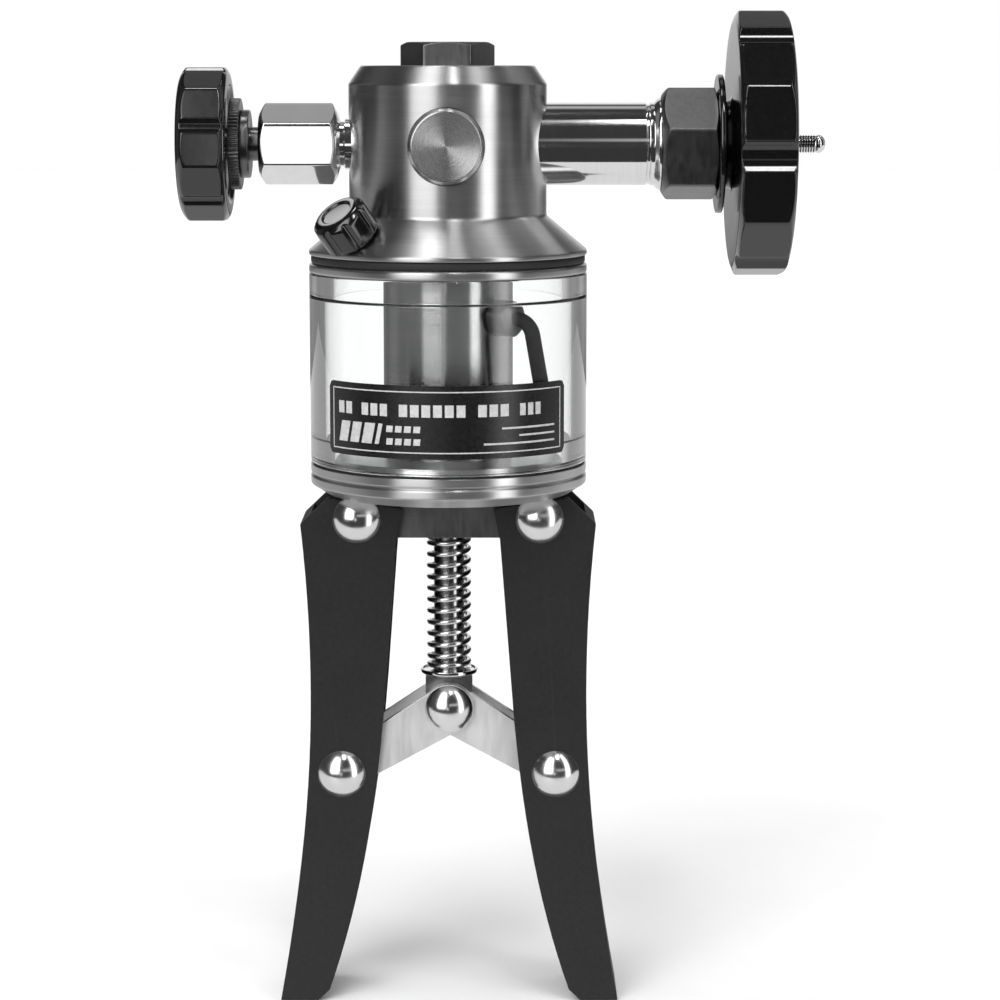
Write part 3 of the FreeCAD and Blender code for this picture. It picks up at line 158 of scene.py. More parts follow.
def tint(tree, shader, factor, dark, light):
    """The shader's colour goes from dark to light grey with the factor."""
    ramp = add(tree, "ShaderNodeValToRGB", {0: factor})
    ramp.color_ramp.elements[0].color = (dark, dark, dark, 1)
    ramp.color_ramp.elements[1].color = (light, light, light, 1)
    tree.links.new(ramp.outputs["Color"], shader.inputs["Base Color"])


def bump(tree, shader, height, depth_mm):
    made = add(tree, "ShaderNodeBump", {"Height": height, "Distance": depth_mm * MM, "Strength": 1.0})
    tree.links.new(made.outputs["Normal"], shader.inputs["Normal"])


def lathe_coordinates(tree, axis, centre):
    """A point as (radius, angle, distance along) about the axis through centre, for turning marks."""
    shifted = add(tree, "ShaderNodeVectorMath", {0: object_point(tree), 1: [value * MM for value in centre]},
                  operation="SUBTRACT").outputs[0]
    parts = add(tree, "ShaderNodeSeparateXYZ", {0: shifted}).outputs
    along, first, second = {"X": (0, 1, 2), "Y": (1, 2, 0), "Z": (2, 0, 1)}[axis]
    radius = maths(tree, "SQRT", maths(tree, "ADD", maths(tree, "POWER", parts[first], 2.0),
                                       maths(tree, "POWER", parts[second], 2.0)))
    angle = maths(tree, "ARCTAN2", parts[first], parts[second])
    return radius, angle, parts[along]


def turned_metal(name, axis, centre, grey, gloss, anisotropy, marks=1.0, contrast=0.12):
    """Steel with fine turning marks round the axis, which stretch its highlights along the axis."""
    made, tree, shader = start_material(name, Metallic=1.0, Anisotropic=anisotropy, Anisotropic_Rotation=0.25)
    radius, angle, along = lathe_coordinates(tree, axis, centre)
    round_marks = maths(tree, "MULTIPLY", angle, 0.0006)
    ring_point = add(tree, "ShaderNodeCombineXYZ", {0: radius, 1: along, 2: round_marks}).outputs[0]
    fine = noise(tree, ring_point, 2400.0, 4.0, 0.65)
    broad = noise(tree, ring_point, 260.0, 2.0)
    cloud = noise(tree, object_point(tree), 55.0, 3.0)
    tone = maths(tree, "ADD", maths(tree, "MULTIPLY", fine, 0.6), maths(tree, "MULTIPLY", broad, 0.4))
    tint(tree, shader, remap(tree, tone, 0.0, 1.0), grey * (1 - contrast), grey * (1 + contrast))
    wear = maths(tree, "ADD", maths(tree, "MULTIPLY", fine, 0.5), maths(tree, "MULTIPLY", cloud, 0.5))
    tree.links.new(remap(tree, wear, gloss * 0.8, gloss * 1.25), shader.inputs["Roughness"])
    tangent = add(tree, "ShaderNodeTangent", direction_type="RADIAL", axis=axis)
    tree.links.new(tangent.outputs[0], shader.inputs["Tangent"])
    bump(tree, shader, fine, 0.006 * marks)
    return made


def milled_metal(name, grey, gloss, marks=1.0, contrast=0.2):
    """Steel off the mill or the press, with a fine mottled grain and a little wear along its edges."""
    made, tree, shader = start_material(name, Metallic=1.0)
    point = object_point(tree)
    stretched = add(tree, "ShaderNodeMapping", {"Vector": point, "Scale": (1.0, 1.0, 0.18)}).outputs[0]
    grain = noise(tree, stretched, 900.0, 5.0, 0.6)
    cloud = noise(tree, point, 70.0, 3.0)
    edge = remap(tree, add(tree, "ShaderNodeNewGeometry").outputs["Pointiness"], 0.0, 0.35, 0.52, 0.6)
    tone = maths(tree, "ADD", maths(tree, "MULTIPLY", grain, 0.55), maths(tree, "MULTIPLY", cloud, 0.45))
    worn = maths(tree, "ADD", remap(tree, tone, 0.0, 1.0), edge)
    tint(tree, shader, worn, grey * (1 - contrast), grey * (1 + contrast))
    tree.links.new(remap(tree, tone, gloss * 0.75, gloss * 1.3), shader.inputs["Roughness"])
    bump(tree, shader, grain, 0.012 * marks)
    return made


def polished_metal(name, grey, gloss):
    """Plated and polished steel with faint wiping marks."""
    made, tree, shader = start_material(name, Metallic=1.0)
    point = object_point(tree)
    smear = noise(tree, point, 140.0, 4.0, 0.6)
    speck = noise(tree, point, 1600.0, 2.0)
    tint(tree, shader, remap(tree, smear, 0.0, 1.0), grey * 0.96, min(1.0, grey * 1.03))
    tree.links.new(remap(tree, smear, gloss * 0.7, gloss * 1.5), shader.inputs["Roughness"])
    bump(tree, shader, speck, 0.0015)
    return made


def glossy_plastic(name, grey, gloss):
    """Moulded plastic: a slight ripple in the gloss and fine handling marks."""
    made, tree, shader = start_material(name, IOR=1.52, Specular_IOR_Level=0.8)
    point = object_point(tree)
    ripple = noise(tree, point, 110.0, 2.0)
    scuff = noise(tree, point, 900.0, 5.0, 0.7)
    tint(tree, shader, remap(tree, scuff, 0.0, 1.0), grey * 0.8, grey * 1.3)
    tree.links.new(remap(tree, scuff, gloss * 0.8, gloss * 1.6), shader.inputs["Roughness"])
    height = maths(tree, "ADD", ripple, maths(tree, "MULTIPLY", scuff, 0.08))
    bump(tree, shader, height, 0.02)
    return made


def powder_coat(name, grey, gloss):
    """Black powder coat: a fine pebbled skin with a slightly paler fleck and rubbed edges."""
    made, tree, shader = start_material(name, IOR=1.5, Specular_IOR_Level=0.35)
    point = object_point(tree)
    pebbles = add(tree, "ShaderNodeTexVoronoi", {"Vector": point, "Scale": 1500.0}, feature="SMOOTH_F1")
    fleck = noise(tree, point, 700.0, 5.0, 0.7)
    cloud = noise(tree, point, 45.0, 3.0)
    edge = remap(tree, add(tree, "ShaderNodeNewGeometry").outputs["Pointiness"], 0.0, 0.4, 0.53, 0.62)
    tone = maths(tree, "ADD", maths(tree, "MULTIPLY", fleck, 0.7), maths(tree, "MULTIPLY", cloud, 0.3))
    worn = maths(tree, "ADD", remap(tree, tone, 0.0, 0.8), edge)
    tint(tree, shader, worn, grey * 0.7, grey * 1.5)
    tree.links.new(remap(tree, cloud, gloss * 0.85, gloss * 1.15), shader.inputs["Roughness"])
    bump(tree, shader, maths(tree, "ADD", pebbles.outputs[0], maths(tree, "MULTIPLY", fleck, 0.5)), 0.09)
    return made


def rubber(name, grey):
    """Matt black rubber with a fine grit."""
    made, tree, shader = start_material(name, Specular_IOR_Level=0.35)
    grit = noise(tree, object_point(tree), 1200.0, 3.0)
    tint(tree, shader, grit, grey * 0.7, grey * 1.3)
    tree.links.new(remap(tree, grit, 0.45, 0.65), shader.inputs["Roughness"])
    bump(tree, shader, grit, 0.01)
    return made


def clear_plastic(name):
    """Polished clear acrylic with a trace of wiping haze."""
    made, tree, shader = start_material(name, Transmission_Weight=1.0, IOR=1.49)
    shader.inputs["Base Color"].default_value = (0.97, 0.975, 0.975, 1)
    haze = noise(tree, object_point(tree), 60.0, 5.0, 0.6)
    tree.links.new(remap(tree, haze, 0.0, 0.03, 0.45, 0.75), shader.inputs["Roughness"])
    return made


def printed(name, grey, gloss):
    """Screen-printed ink: nearly even, with a fine grain."""
    made, tree, shader = start_material(name)
    grain = noise(tree, object_point(tree), 1100.0, 4.0, 0.6)
    tint(tree, shader, remap(tree, grain, 0.0, 1.0), grey * 0.82, min(1.0, grey * 1.12))
    tree.links.new(remap(tree, grain, gloss * 0.8, gloss * 1.2), shader.inputs["Roughness"])
    bump(tree, shader, grain, 0.002)
    return made


CROSS_Z = (box("press_barrel")[0].z + box("press_barrel")[1].z) / 2
CROSS_CENTRE = (0, 0, CROSS_Z)
MATERIALS = {
    "head_steel": turned_metal("turned_steel", "Z", (0, 0, 0), 0.55, 0.34, 0.9),
    "dark_steel": milled_metal("dark_steel", 0.18, 0.36),
    "bright_steel": polished_metal("polished_steel", 0.86, 0.07),
    "black_plastic": glossy_plastic("black_plastic", 0.004, 0.09),
    "handle_coat": powder_coat("powder_coat", 0.011, 0.55),
    "link_zinc": milled_metal("zinc_plate", 0.95, 0.45, 0.5, 0.03),
    "spring_steel": milled_metal("spring_wire", 0.75, 0.22, 0.5, 0.1),
    "clear_acrylic": clear_plastic("clear_acrylic"),
    "seal_rubber": rubber("black_rubber", 0.02),
    "label_print": printed("label_black", 0.008, 0.3),
    "brass": milled_metal("nickel_brass", 0.5, 0.25, 0.5, 0.08),
    "clear_hose": rubber("dark_hose", 0.05),
}
TURNED_ACROSS = turned_metal("turned_bright", "X", CROSS_CENTRE, 0.84, 0.08, 0.35, 0.3, 0.04)
TURNED_DARK = turned_metal("turned_dark", "X", CROSS_CENTRE, 0.16, 0.3, 0.5)
TURNED_FACE = turned_metal("turned_face", "Y", CROSS_CENTRE, 0.55, 0.26, 0.9, 1.2, 0.1)
PLUNGER_STEEL = turned_metal("ground_rod", "Z", (0, 0, 0), 0.42, 0.2, 0.4, 0.4, 0.05)
# The sleeve inside the tube: the head's turned steel with its grey lowered from 0.55 to 0.42 as painted shade,
# and a lower roughness of its own.
SHADED_CYLINDER_STEEL = turned_metal("cylinder_steel_painted_shade", "Z", (0, 0, 0), 0.42, 0.22, 0.9)
WHITE_INK = printed("label_white", 0.5, 0.4)
RIVET_STEEL = polished_metal("rivet_steel", 0.8, 0.17)


# ---------------------------------------------------------------- meshes
def softened(corners):
    """A profile whose corners, (radius, height, rounding), are rounded; an end or a corner with none stays."""
    steps = 4
    points = []
    last = len(corners) - 1
    for index, corner in enumerate(corners):
        here = Vector(corner[:2])
        rounding = corner[2] if len(corner) > 2 else 0
        if rounding == 0 or index in (0, last):
            points.append(tuple(here))
            continue
        before = Vector(corners[index - 1][:2]) - here
        after = Vector(corners[index + 1][:2]) - here
        start = here + before.normalized() * min(rounding, before.length * 0.45)
        end = here + after.normalized() * min(rounding, after.length * 0.45)
        for step in range(steps + 1):
            share = step / steps
            points.append(tuple(start.lerp(here, share).lerp(here.lerp(end, share), share)))
    return points


def closed_outline(corners):
    """A ring's profile with rounded corners, except the first, where it starts and ends."""
    return softened(corners + corners[:1])[:-1]


def filled(points, step):
    """The profile with points added wherever its radius changes, none further than step from the next."""
    full = [points[0]]
    for start, end in zip(points, points[1:]):
        slanted = abs(start[0] - end[0]) > 0.05 and start[0] > 0 and end[0] > 0
        count = max(1, math.ceil(math.dist(start, end) / step)) if slanted else 1
        for part in range(1, count + 1):
            full.append(tuple(a + (b - a) * part / count for a, b in zip(start, end)))
    return full


def smooth_min(first, second, blend):
    """The lesser number, eased over blend where the two are close."""
    share = min(1.0, max(0.0, 0.5 + 0.5 * (second - first) / blend))
    return second + (first - second) * share - blend * share * (1 - share)


def lathe(points, limit=None, steps=FINE, closed=False):
    """Vertices and faces turned about Z from (radius, height) points; limit is the most radius at an angle."""
    caps = None
    if limit:
        caps = [limit(math.tau * step / steps) for step in range(steps)]
    vertices = []
    rings = []
    for radius, height in points:
        if radius < 1e-6:
            rings.append([len(vertices)])
            vertices.append((0.0, 0.0, height))
            continue
        first = len(vertices)
        rings.append(list(range(first, first + steps)))
        for step in range(steps):
            angle = math.tau * step / steps
            reach = smooth_min(radius, caps[step], 0.35) if caps and radius > min(caps) - 0.5 else radius
            vertices.append((reach * math.cos(angle), reach * math.sin(angle), height))
    pairs = list(zip(rings, rings[1:]))
    if closed:
        pairs.append((rings[-1], rings[0]))
    faces = []
    for low, high in pairs:
        for step in range(steps):
            after = (step + 1) % steps
            if len(low) == 1 and len(high) == 1:
                continue
            if len(low) == 1:
                faces.append((low[0], high[after], high[step]))
            elif len(high) == 1:
                faces.append((low[step], low[after], high[0]))
            else:
                faces.append((low[step], low[after], high[after], high[step]))
    return vertices, faces


def placed(geometry, base, axis, turn=0.0):
    """Moves geometry made about Z to base, with Z along axis, after a turn in degrees about Z."""
    vertices, faces = geometry
    rotation = UP.rotation_difference(Vector(axis)).to_matrix()
    spin = math.radians(turn)
    moved = []
    for x, y, z in vertices:
        spun = Vector((x * math.cos(spin) - y * math.sin(spin), x * math.sin(spin) + y * math.cos(spin), z))
        moved.append(rotation @ spun + Vector(base))
    return moved, faces


def joined(*geometries):
    """Several geometries as one."""
    vertices = []
    faces = []
    for more_vertices, more_faces in geometries:
        start = len(vertices)
        vertices.extend(more_vertices)
        faces.extend(tuple(index + start for index in face) for face in more_faces)
    return vertices, faces


def mesh_from(name, vertices, faces):
    """A mesh from vertices in millimetres."""
    mesh = bpy.data.meshes.new(name)
    mesh.from_pydata([Vector(vertex) * MM for vertex in vertices], [], faces)
    return mesh


def finish_mesh(mesh):
    """Cleans the mesh, turns its faces outwards and leaves only its sharp corners unsmoothed."""
    work = bmesh.new()
    work.from_mesh(mesh)
    bmesh.ops.remove_doubles(work, verts=work.verts, dist=0.002 * MM)
    bmesh.ops.dissolve_degenerate(work, edges=work.edges, dist=0.001 * MM)
    bmesh.ops.recalc_face_normals(work, faces=work.faces)
    for face in work.faces:
        face.smooth = True
    work.to_mesh(mesh)
    work.free()
    mesh.set_sharp_from_angle(angle=math.radians(CREASE))
    mesh.update()


def in_scene(name, data):
    """A new object with this mesh, lamp or camera."""
    made = bpy.data.objects.new(name, data)
    bpy.context.scene.collection.objects.link(made)
    return made


def dressed(name, mesh, nodes, finish=None):
    """The mesh as a piece: it stands for CAD nodes, rides on their body and takes their slot."""
    first = nodes[0]
    finish_mesh(mesh)
    made = in_scene(name, mesh)
    mesh.materials.append(finish or MATERIALS[SLOT_OF[first]])
    weighted = made.modifiers.new("weighted_normals", "WEIGHTED_NORMAL")
    weighted.keep_sharp = True
    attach(made, NODES[first]["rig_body"])
    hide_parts(*nodes)
    return made


def piece(name, geometry, nodes, finish=None):
    """A piece made from geometry."""
    return dressed(name, mesh_from(name, *geometry), nodes, finish)


def cut_away(made, *tools):
    """Cuts closed geometries out of a piece's mesh."""
    for tool in tools:
        mesh = mesh_from("tool", *tool)
        finish_mesh(mesh)
        cutter = in_scene("tool", mesh)
        boolean = made.modifiers.new("cut", "BOOLEAN")
        boolean.operation = "DIFFERENCE"
        boolean.solver = "EXACT"
        boolean.object = cutter
        made.modifiers.move(len(made.modifiers) - 1, 0)
        bpy.context.view_layer.update()
        weighted = made.modifiers["weighted_normals"]
        weighted.show_viewport = False
        result = bpy.data.meshes.new_from_object(made.evaluated_get(bpy.context.evaluated_depsgraph_get()))
        weighted.show_viewport = True
        made.modifiers.remove(boolean)
        made.data = result
        finish_mesh(result)
        bpy.data.objects.remove(cutter)


def rounded_cad(name, node, width):
    """The CAD shape with its sharp edges rounded over this width."""
    work = bmesh.new()
    work.from_mesh(NODES[node].data)
    bmesh.ops.remove_doubles(work, verts=work.verts, dist=0.005 * MM)
    bmesh.ops.dissolve_limit(work, angle_limit=math.radians(0.6), verts=work.verts, edges=work.edges)
    least_angle = math.radians(25)
    sharp = [edge for edge in work.edges if len(edge.link_faces) == 2 and edge.calc_face_angle() > least_angle]
    bmesh.ops.bevel(work, geom=sharp, offset=width * MM, segments=3, profile=0.5, affect="EDGES",
                    clamp_overlap=True)
    low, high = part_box(node)
    for vertex in work.verts:
        vertex.co = [min(max(value, least), most) for value, least, most in zip(vertex.co, low, high)]
    mesh = bpy.data.meshes.new(name)
    work.to_mesh(mesh)
    work.free()
    return dressed(name, mesh, [node])


def flats(sides, apothem, turn=0.0, sharpness=60):
    """A limit for lathe: a prism's flats with slightly rounded corners, a corner at turn degrees."""
    middles = [math.radians(turn + 360 * (index + 0.5) / sides) for index in range(sides)]

    def limit(angle):
        total = sum(max(0.0, math.cos(angle - middle)) ** sharpness for middle in middles)
        return apothem / total ** (1 / sharpness)
    return limit


def flutes(base_limit, count, circle, radius, turn, blend=0.8):
    """A limit for lathe: round flutes cut into another limit, their centres on a circle."""
    pitch = math.tau / count

    def limit(angle):
        off = (angle - math.radians(turn) + pitch / 2) % pitch - pitch / 2
        across = circle * math.sin(off)
        rim = base_limit(angle)
        if abs(across) >= radius:
            return rim
        return smooth_min(rim, circle * math.cos(off) - math.sqrt(radius ** 2 - across ** 2), blend)
    return limit


def knurl(radius, teeth, depth):
    """A limit for lathe: fine straight teeth."""
    return lambda angle: radius - depth * abs(math.sin(angle * teeth / 2))


# ---------------------------------------------------------------- head and gauge port
def make_adaptor():
    low, high = box("gauge_adaptor")
    seat_z = box("head_block")[1].z
    corner = high.x
    apothem = corner * math.cos(math.pi / 6)
    shank, bore, bore_end = 10.0, 5.72, -12.0
    half_pitch, thread_depth = 0.668, 0.45
    thread = [(bore + thread_depth * (index % 2), -1.2 - half_pitch * index) for index in range(16)]
    outline = softened([
        (0, low.z), (shank, low.z, 0.4), (shank, seat_z), (corner + 0.4, seat_z, 0.2),
        (corner + 0.4, high.z - 1.2), (apothem * 0.985, high.z, 0.4), (bore + 0.8, high.z, 0.2),
        (bore, high.z - 0.8)])
    outline = filled(outline, 0.25) + thread + [(bore, bore_end), (0, bore_end)]
    piece("adaptor_nut", lathe(outline, flats(6, apothem), FACETED), ["gauge_adaptor"])


def drill(radius, base, axis):
    """A cylinder to cut away, which runs out from base along the axis."""
    depth = 10
    return placed(lathe([(0, 0), (radius, 0), (radius, depth), (0, depth)]), base, axis)


def make_head():
    low, high = box("head_block")
    top = high.z
    radius = -box("front_plug")[0].y - 0.9
    wide = high.x
    seat = box("upper_gasket")[1].z
    socket, collar, recess, spigot = 17.4, 20.5, 29.0, 33.2
    outline = softened([
        (0, low.z + 3.5), (socket, low.z + 3.5), (socket, low.z), (collar, low.z, 0.4), (collar, low.z + 2.5),
        (recess, low.z + 2.5), (recess, low.z, 0.4), (spigot, low.z, 0.4), (spigot, seat), (wide, seat, 0.3),
        (wide, seat + 1.2, 0.35), (radius, top - 39.7, 0.7), (radius, top - 4.8, 0.4), (radius - 3.3, top, 0.5),
        (0, top)])
    head = piece("head_body", lathe(outline), ["head_block"])
    plug_spot = drill(10.15, (0, -23.4, CROSS_Z), FRONT)
    bonnet_spot = drill(8.0, (-25.5, 0, CROSS_Z), LEFT)
    cut_away(head, plug_spot, bonnet_spot)


def make_plug():
    shank, radius, shoulder = 7.0, 10.0, 9.0
    root = 14.4
    face = -box("front_plug")[0].y - root
    outline = softened([
        (0, 0), (shank, 0, 0.3), (shank, shoulder), (radius, shoulder), (radius, face - 0.9, 0.25),
        (radius - 0.9, face, 0.3), (0, face - 0.5)])
    piece("blanking_plug", placed(lathe(filled(outline, 1.0)), (0, -root, CROSS_Z), FRONT), ["front_plug"],
          TURNED_FACE)


def make_filler_cap():
    """The lobed cap on its seat on the cone, both taken from the joint that it turns on."""
    joint = joint_named("filler_turn")
    seat, outward = Vector(joint["pos_m"]) / MM, Vector(joint["axis"]).normalized()
    radius, rise, gap = 7.7, 9.0, 0.3
    shank, shank_end = 3.8, -8.0
    outline = softened([
        (0, shank_end), (shank, shank_end, 0.4), (shank, 0), (radius - 0.6, 0), (radius, 0.6, 0.4),
        (radius, rise - 1.6, 0.8), (radius - 1.8, rise, 0.9), (radius - 3.4, rise, 0.3),
        (radius - 3.7, rise - 0.5, 0.3), (0, rise - 0.5)])
    grip = flutes(lambda angle: radius, 8, radius + 0.6, 1.5, 11.0, 0.5)
    cap = placed(lathe(filled(outline, 0.3), grip, FACETED), seat + outward * gap, outward)
    piece("filler_knob", cap, ["filler_cap"])


# ---------------------------------------------------------------- reservoir
def ring(outer, inner, low, high, rounding):
    """A ring about Z with rounded edges."""
    middle = (outer + inner) / 2
    outline = closed_outline([(middle, low), (outer, low, rounding), (outer, high, rounding), (middle, high),
                              (inner, high, rounding), (inner, low, rounding)])
    return lathe(outline, closed=True)


def make_reservoir():
    bore = 33.4
    for name, node, rounding in (("upper_seal_ring", "upper_gasket", 0.9), ("clamp_band", "clamp_ring", 0.8),
                                 ("lower_seal_ring", "lower_gasket", 0.2)):
        low, high = box(node)
        piece(name, ring(high.x, bore, low.z, high.z, rounding), [node])

    low, high = box("reservoir_tube")
    lip, lip_height = 31.0, 6.5
    outline = closed_outline([
        (bore + 0.6, low.z), (high.x, low.z, 0.4), (high.x, high.z, 0.4), (lip, high.z, 0.3),
        (lip, high.z - lip_height, 0.5), (bore, high.z - lip_height, 0.5), (bore, low.z + lip_height, 0.5),
        (lip, low.z + lip_height, 0.5), (lip, low.z, 0.3)])
    piece("reservoir_glass", lathe(outline, closed=True), ["reservoir_tube"])

    low, high = box("base_flange")
    outer = high.x
    tube_low = box("lower_gasket")[0].z
    spigot, well, well_floor, rod_hole = 30.8, 17.6, -116.0, 5.0
    groove_z = -115.3
    outline = closed_outline([
        (rod_hole, low.z), (33.0, low.z, 0.6), (outer, low.z + 2.7, 0.4), (outer, groove_z - 0.55, 0.25),
        (outer - 0.6, groove_z, 0.1), (outer, groove_z + 0.55, 0.25), (outer, tube_low, 0.2),
        (spigot, tube_low), (spigot, high.z, 0.5), (well, high.z, 0.3), (well, well_floor),
        (rod_hole, well_floor)])
    piece("base_rim", lathe(outline, closed=True), ["base_flange"])


def make_pump_cylinder():
    low, high = box("pump_cylinder")
    outer, bore, wide_bore, step_z = high.x, 6.0, 8.0, -103.0
    outline = closed_outline([(wide_bore, low.z), (outer, low.z, 0.8), (outer, high.z, 0.8),
                              (bore, high.z, 0.2), (bore, step_z), (wide_bore, step_z)])
    # The sleeve takes the darker steel, whose lower grey is painted shade.
    piece("cylinder_sleeve", lathe(outline, closed=True), ["pump_cylinder"], SHADED_CYLINDER_STEEL)


def label_patch(left, right, low, high, radius, thickness, slant=0.0, corner=0.0):
    """A thin closed patch bent round the tube: left and right are arc lengths from the front."""
    columns = max(2, math.ceil((right - left) / 0.8))
    rim = []
    for index in range(columns + 1):
        share = index / columns
        along = left + (right - left) * share
        inset = 0.0
        reach = min(along - left, right - along)
        if corner and reach < corner:
            inset = corner - math.sqrt(max(0.0, corner ** 2 - (corner - reach) ** 2))
        rim.append((along, low + inset, high - inset))
    vertices = []
    for along, bottom, top in rim:
        for height in (bottom, top):
            angle = (along + slant * (height - low)) / radius
            for reach in (radius, radius + thickness):
                vertices.append((reach * math.sin(angle), -reach * math.cos(angle), height))
    faces = [(0, 1, 3, 2)]
    for index in range(columns):
        here, there = 4 * index, 4 * (index + 1)
        faces += [(here, there, there + 1, here + 1), (here + 2, here + 3, there + 3, there + 2),
                  (here, here + 2, there + 2, there), (here + 1, there + 1, there + 3, here + 3)]
    end = 4 * columns
    faces.append((end, end + 2, end + 3, end + 1))
    return vertices, faces


def make_label():
    """A black plate with a thin border and rows of plain blocks in the place of words."""
    low, high = box("label_plate")
    radius = -low.y - 0.4
    clearance = 0.06
    plate_in, plate_out = radius + 0.02, -low.y - clearance
    half = radius * math.asin(high.x / -low.y)
    plate = label_patch(-half, half, low.z, high.z, plate_in, plate_out - plate_in, corner=1.6)
    piece("label_sheet", plate, ["label_plate"])
    ink = clearance * 0.8
    inset, line = 1.5, 0.32
    margin, gap = 4.0, 0.75
    patches = []

    def mark(left, right, bottom, top, slant=0.0):
        patches.append(label_patch(left, right, low.z + bottom, low.z + top, plate_out, ink, slant))

    height = high.z - low.z
    mark(-half + inset, half - inset, inset, inset + line)
    mark(-half + inset, half - inset, height - inset - line, height - inset)
    mark(-half + inset, -half + inset + line, inset + line, height - inset - line)
    mark(half - inset - line, half - inset, inset + line, height - inset - line)
    # The upper row: five groups of blocks.
    cursor = -half + margin
    for blocks, width in ((2, 2.1), (3, 2.1), (6, 2.3), (3, 2.3), (3, 1.7)):
        for _ in range(blocks):
            mark(cursor, cursor + width, 11.0, 14.2)
            cursor += width + gap
        cursor += 2.6
    # The lower rows: a large slanted group, two small lines beside it, and three rules on the right.
    cursor = -half + margin
    for width in (3.2, 3.0, 3.2, 1.2):
        mark(cursor, cursor + width, 3.6, 9.0, 0.22)
        cursor += width + 1.0
    for bottom in (3.6, 6.9):
        for index in range(4):
            start = cursor + 1.2 + 2.5 * index
            mark(start, start + 1.8, bottom, bottom + 1.7, 0.1)
    for bottom, length in ((7.6, 17.0), (5.6, 12.0), (3.6, 22.0)):
        mark(half - margin - length, half - margin, bottom, bottom + 0.5)
    piece("label_marks", joined(*patches), ["label_plate"], WHITE_INK)


def suction_way():
    """The way the suction line leaves the cylinder, against the lift of its check ball, and its height."""
    low, high = box("suction_fitting")
    return -Vector(joint_named("inlet_check_lift")["axis"]).normalized(), (low.z + high.z) / 2


def make_suction_line():
    """The inlet's union, screwed into the side of the cylinder."""
    outward, level = suction_way()
    root, length = 14.2, 10.3
    shank, corner, apothem = 3.0, 5.0, 4.6
    outline = softened([
        (0, 0), (shank, 0), (shank, 3.7), (corner, 3.7, 0.3), (corner, length - 1.6, 0.5), (2.6, length, 0.3),
        (0, length)])
    fitting = lathe(filled(outline, 0.3), flats(6, apothem, 30.0))
    base = outward * root + UP * level
    piece("suction_union", placed(fitting, base, outward), ["suction_fitting"])


# ---------------------------------------------------------------- release valve
def make_release_valve():
    low, high = box("release_bonnet")
    apothem = 9.5
    corner = apothem / math.cos(math.pi / 6)
    start, end = -high.x, -low.x
    shank, relief, mouth, hex_start = 6.75, 6.0, 4.7, 29.5
    outline = softened([
        (0, start), (shank, start, 0.3), (shank, hex_start - 2.2), (relief, hex_start - 1.8),
        (relief, hex_start - 0.8), (apothem * 0.9, hex_start, 0.4), (corner + 0.3, hex_start + 1.6, 0.4),
        (corner + 0.3, end - 1.9, 0.4), (apothem * 0.86, end, 0.6), (mouth + 0.5, end, 0.4), (mouth, end - 1.0),
        (0, end - 1.0)])
    bonnet = placed(lathe(filled(outline, 0.2), flats(6, apothem), FACETED), CROSS_CENTRE, LEFT)
    piece("bonnet_hex", bonnet, ["release_bonnet"])

    nose, stem, stem_end = box("release_stem")[1].x, 4.5, 67.1
    flange, flange_start, flange_end = 9.1, 52.9, 55.3
    outline = softened([
        (0, -nose), (1.6, -nose), (stem, -nose + 3), (stem, flange_start), (flange, flange_start, 0.4),
        (flange, flange_end, 0.4), (stem, flange_end), (stem, stem_end), (0, stem_end)])
    piece("release_spindle", placed(lathe(outline), CROSS_CENTRE, LEFT), ["release_stem"], TURNED_DARK)

    low, high = box("release_collar")
    radius, bore = 12.25, 4.55
    outline = closed_outline([(bore, -high.x), (radius, -high.x, 0.45), (radius, -low.x, 0.45), (bore, -low.x)])
    collar = lathe(filled(outline, 2.0), knurl(radius, 72, 0.5), FACETED, closed=True)
    piece("knurled_collar", placed(collar, CROSS_CENTRE, LEFT), ["release_collar"], TURNED_DARK)

    knob_start, rim, depth = 58.2, 21.2, 14.3
    outline = softened([
        (0, 1.0), (rim - 6.5, 1.0, 0.5), (rim - 5.5, 0, 0.5), (rim - 2.2, 0.2, 0.8), (rim + 0.2, 1.9, 1.0),
        (rim + 0.2, depth - 3.8, 1.2), (rim - 2.6, depth - 1.3, 1.6), (rim * 0.5, depth - 0.4, 2.0),
        (0, depth)])
    shape = flutes(flats(12, (rim - 0.2) * math.cos(math.pi / 12), 15.0, 220), 6, rim + 0.9, 2.4, 45.0)
    knob = placed(lathe(filled(outline, 0.3), shape, FACETED), (-knob_start, 0, CROSS_Z), LEFT)
    piece("release_grip", knob, ["release_knob"])


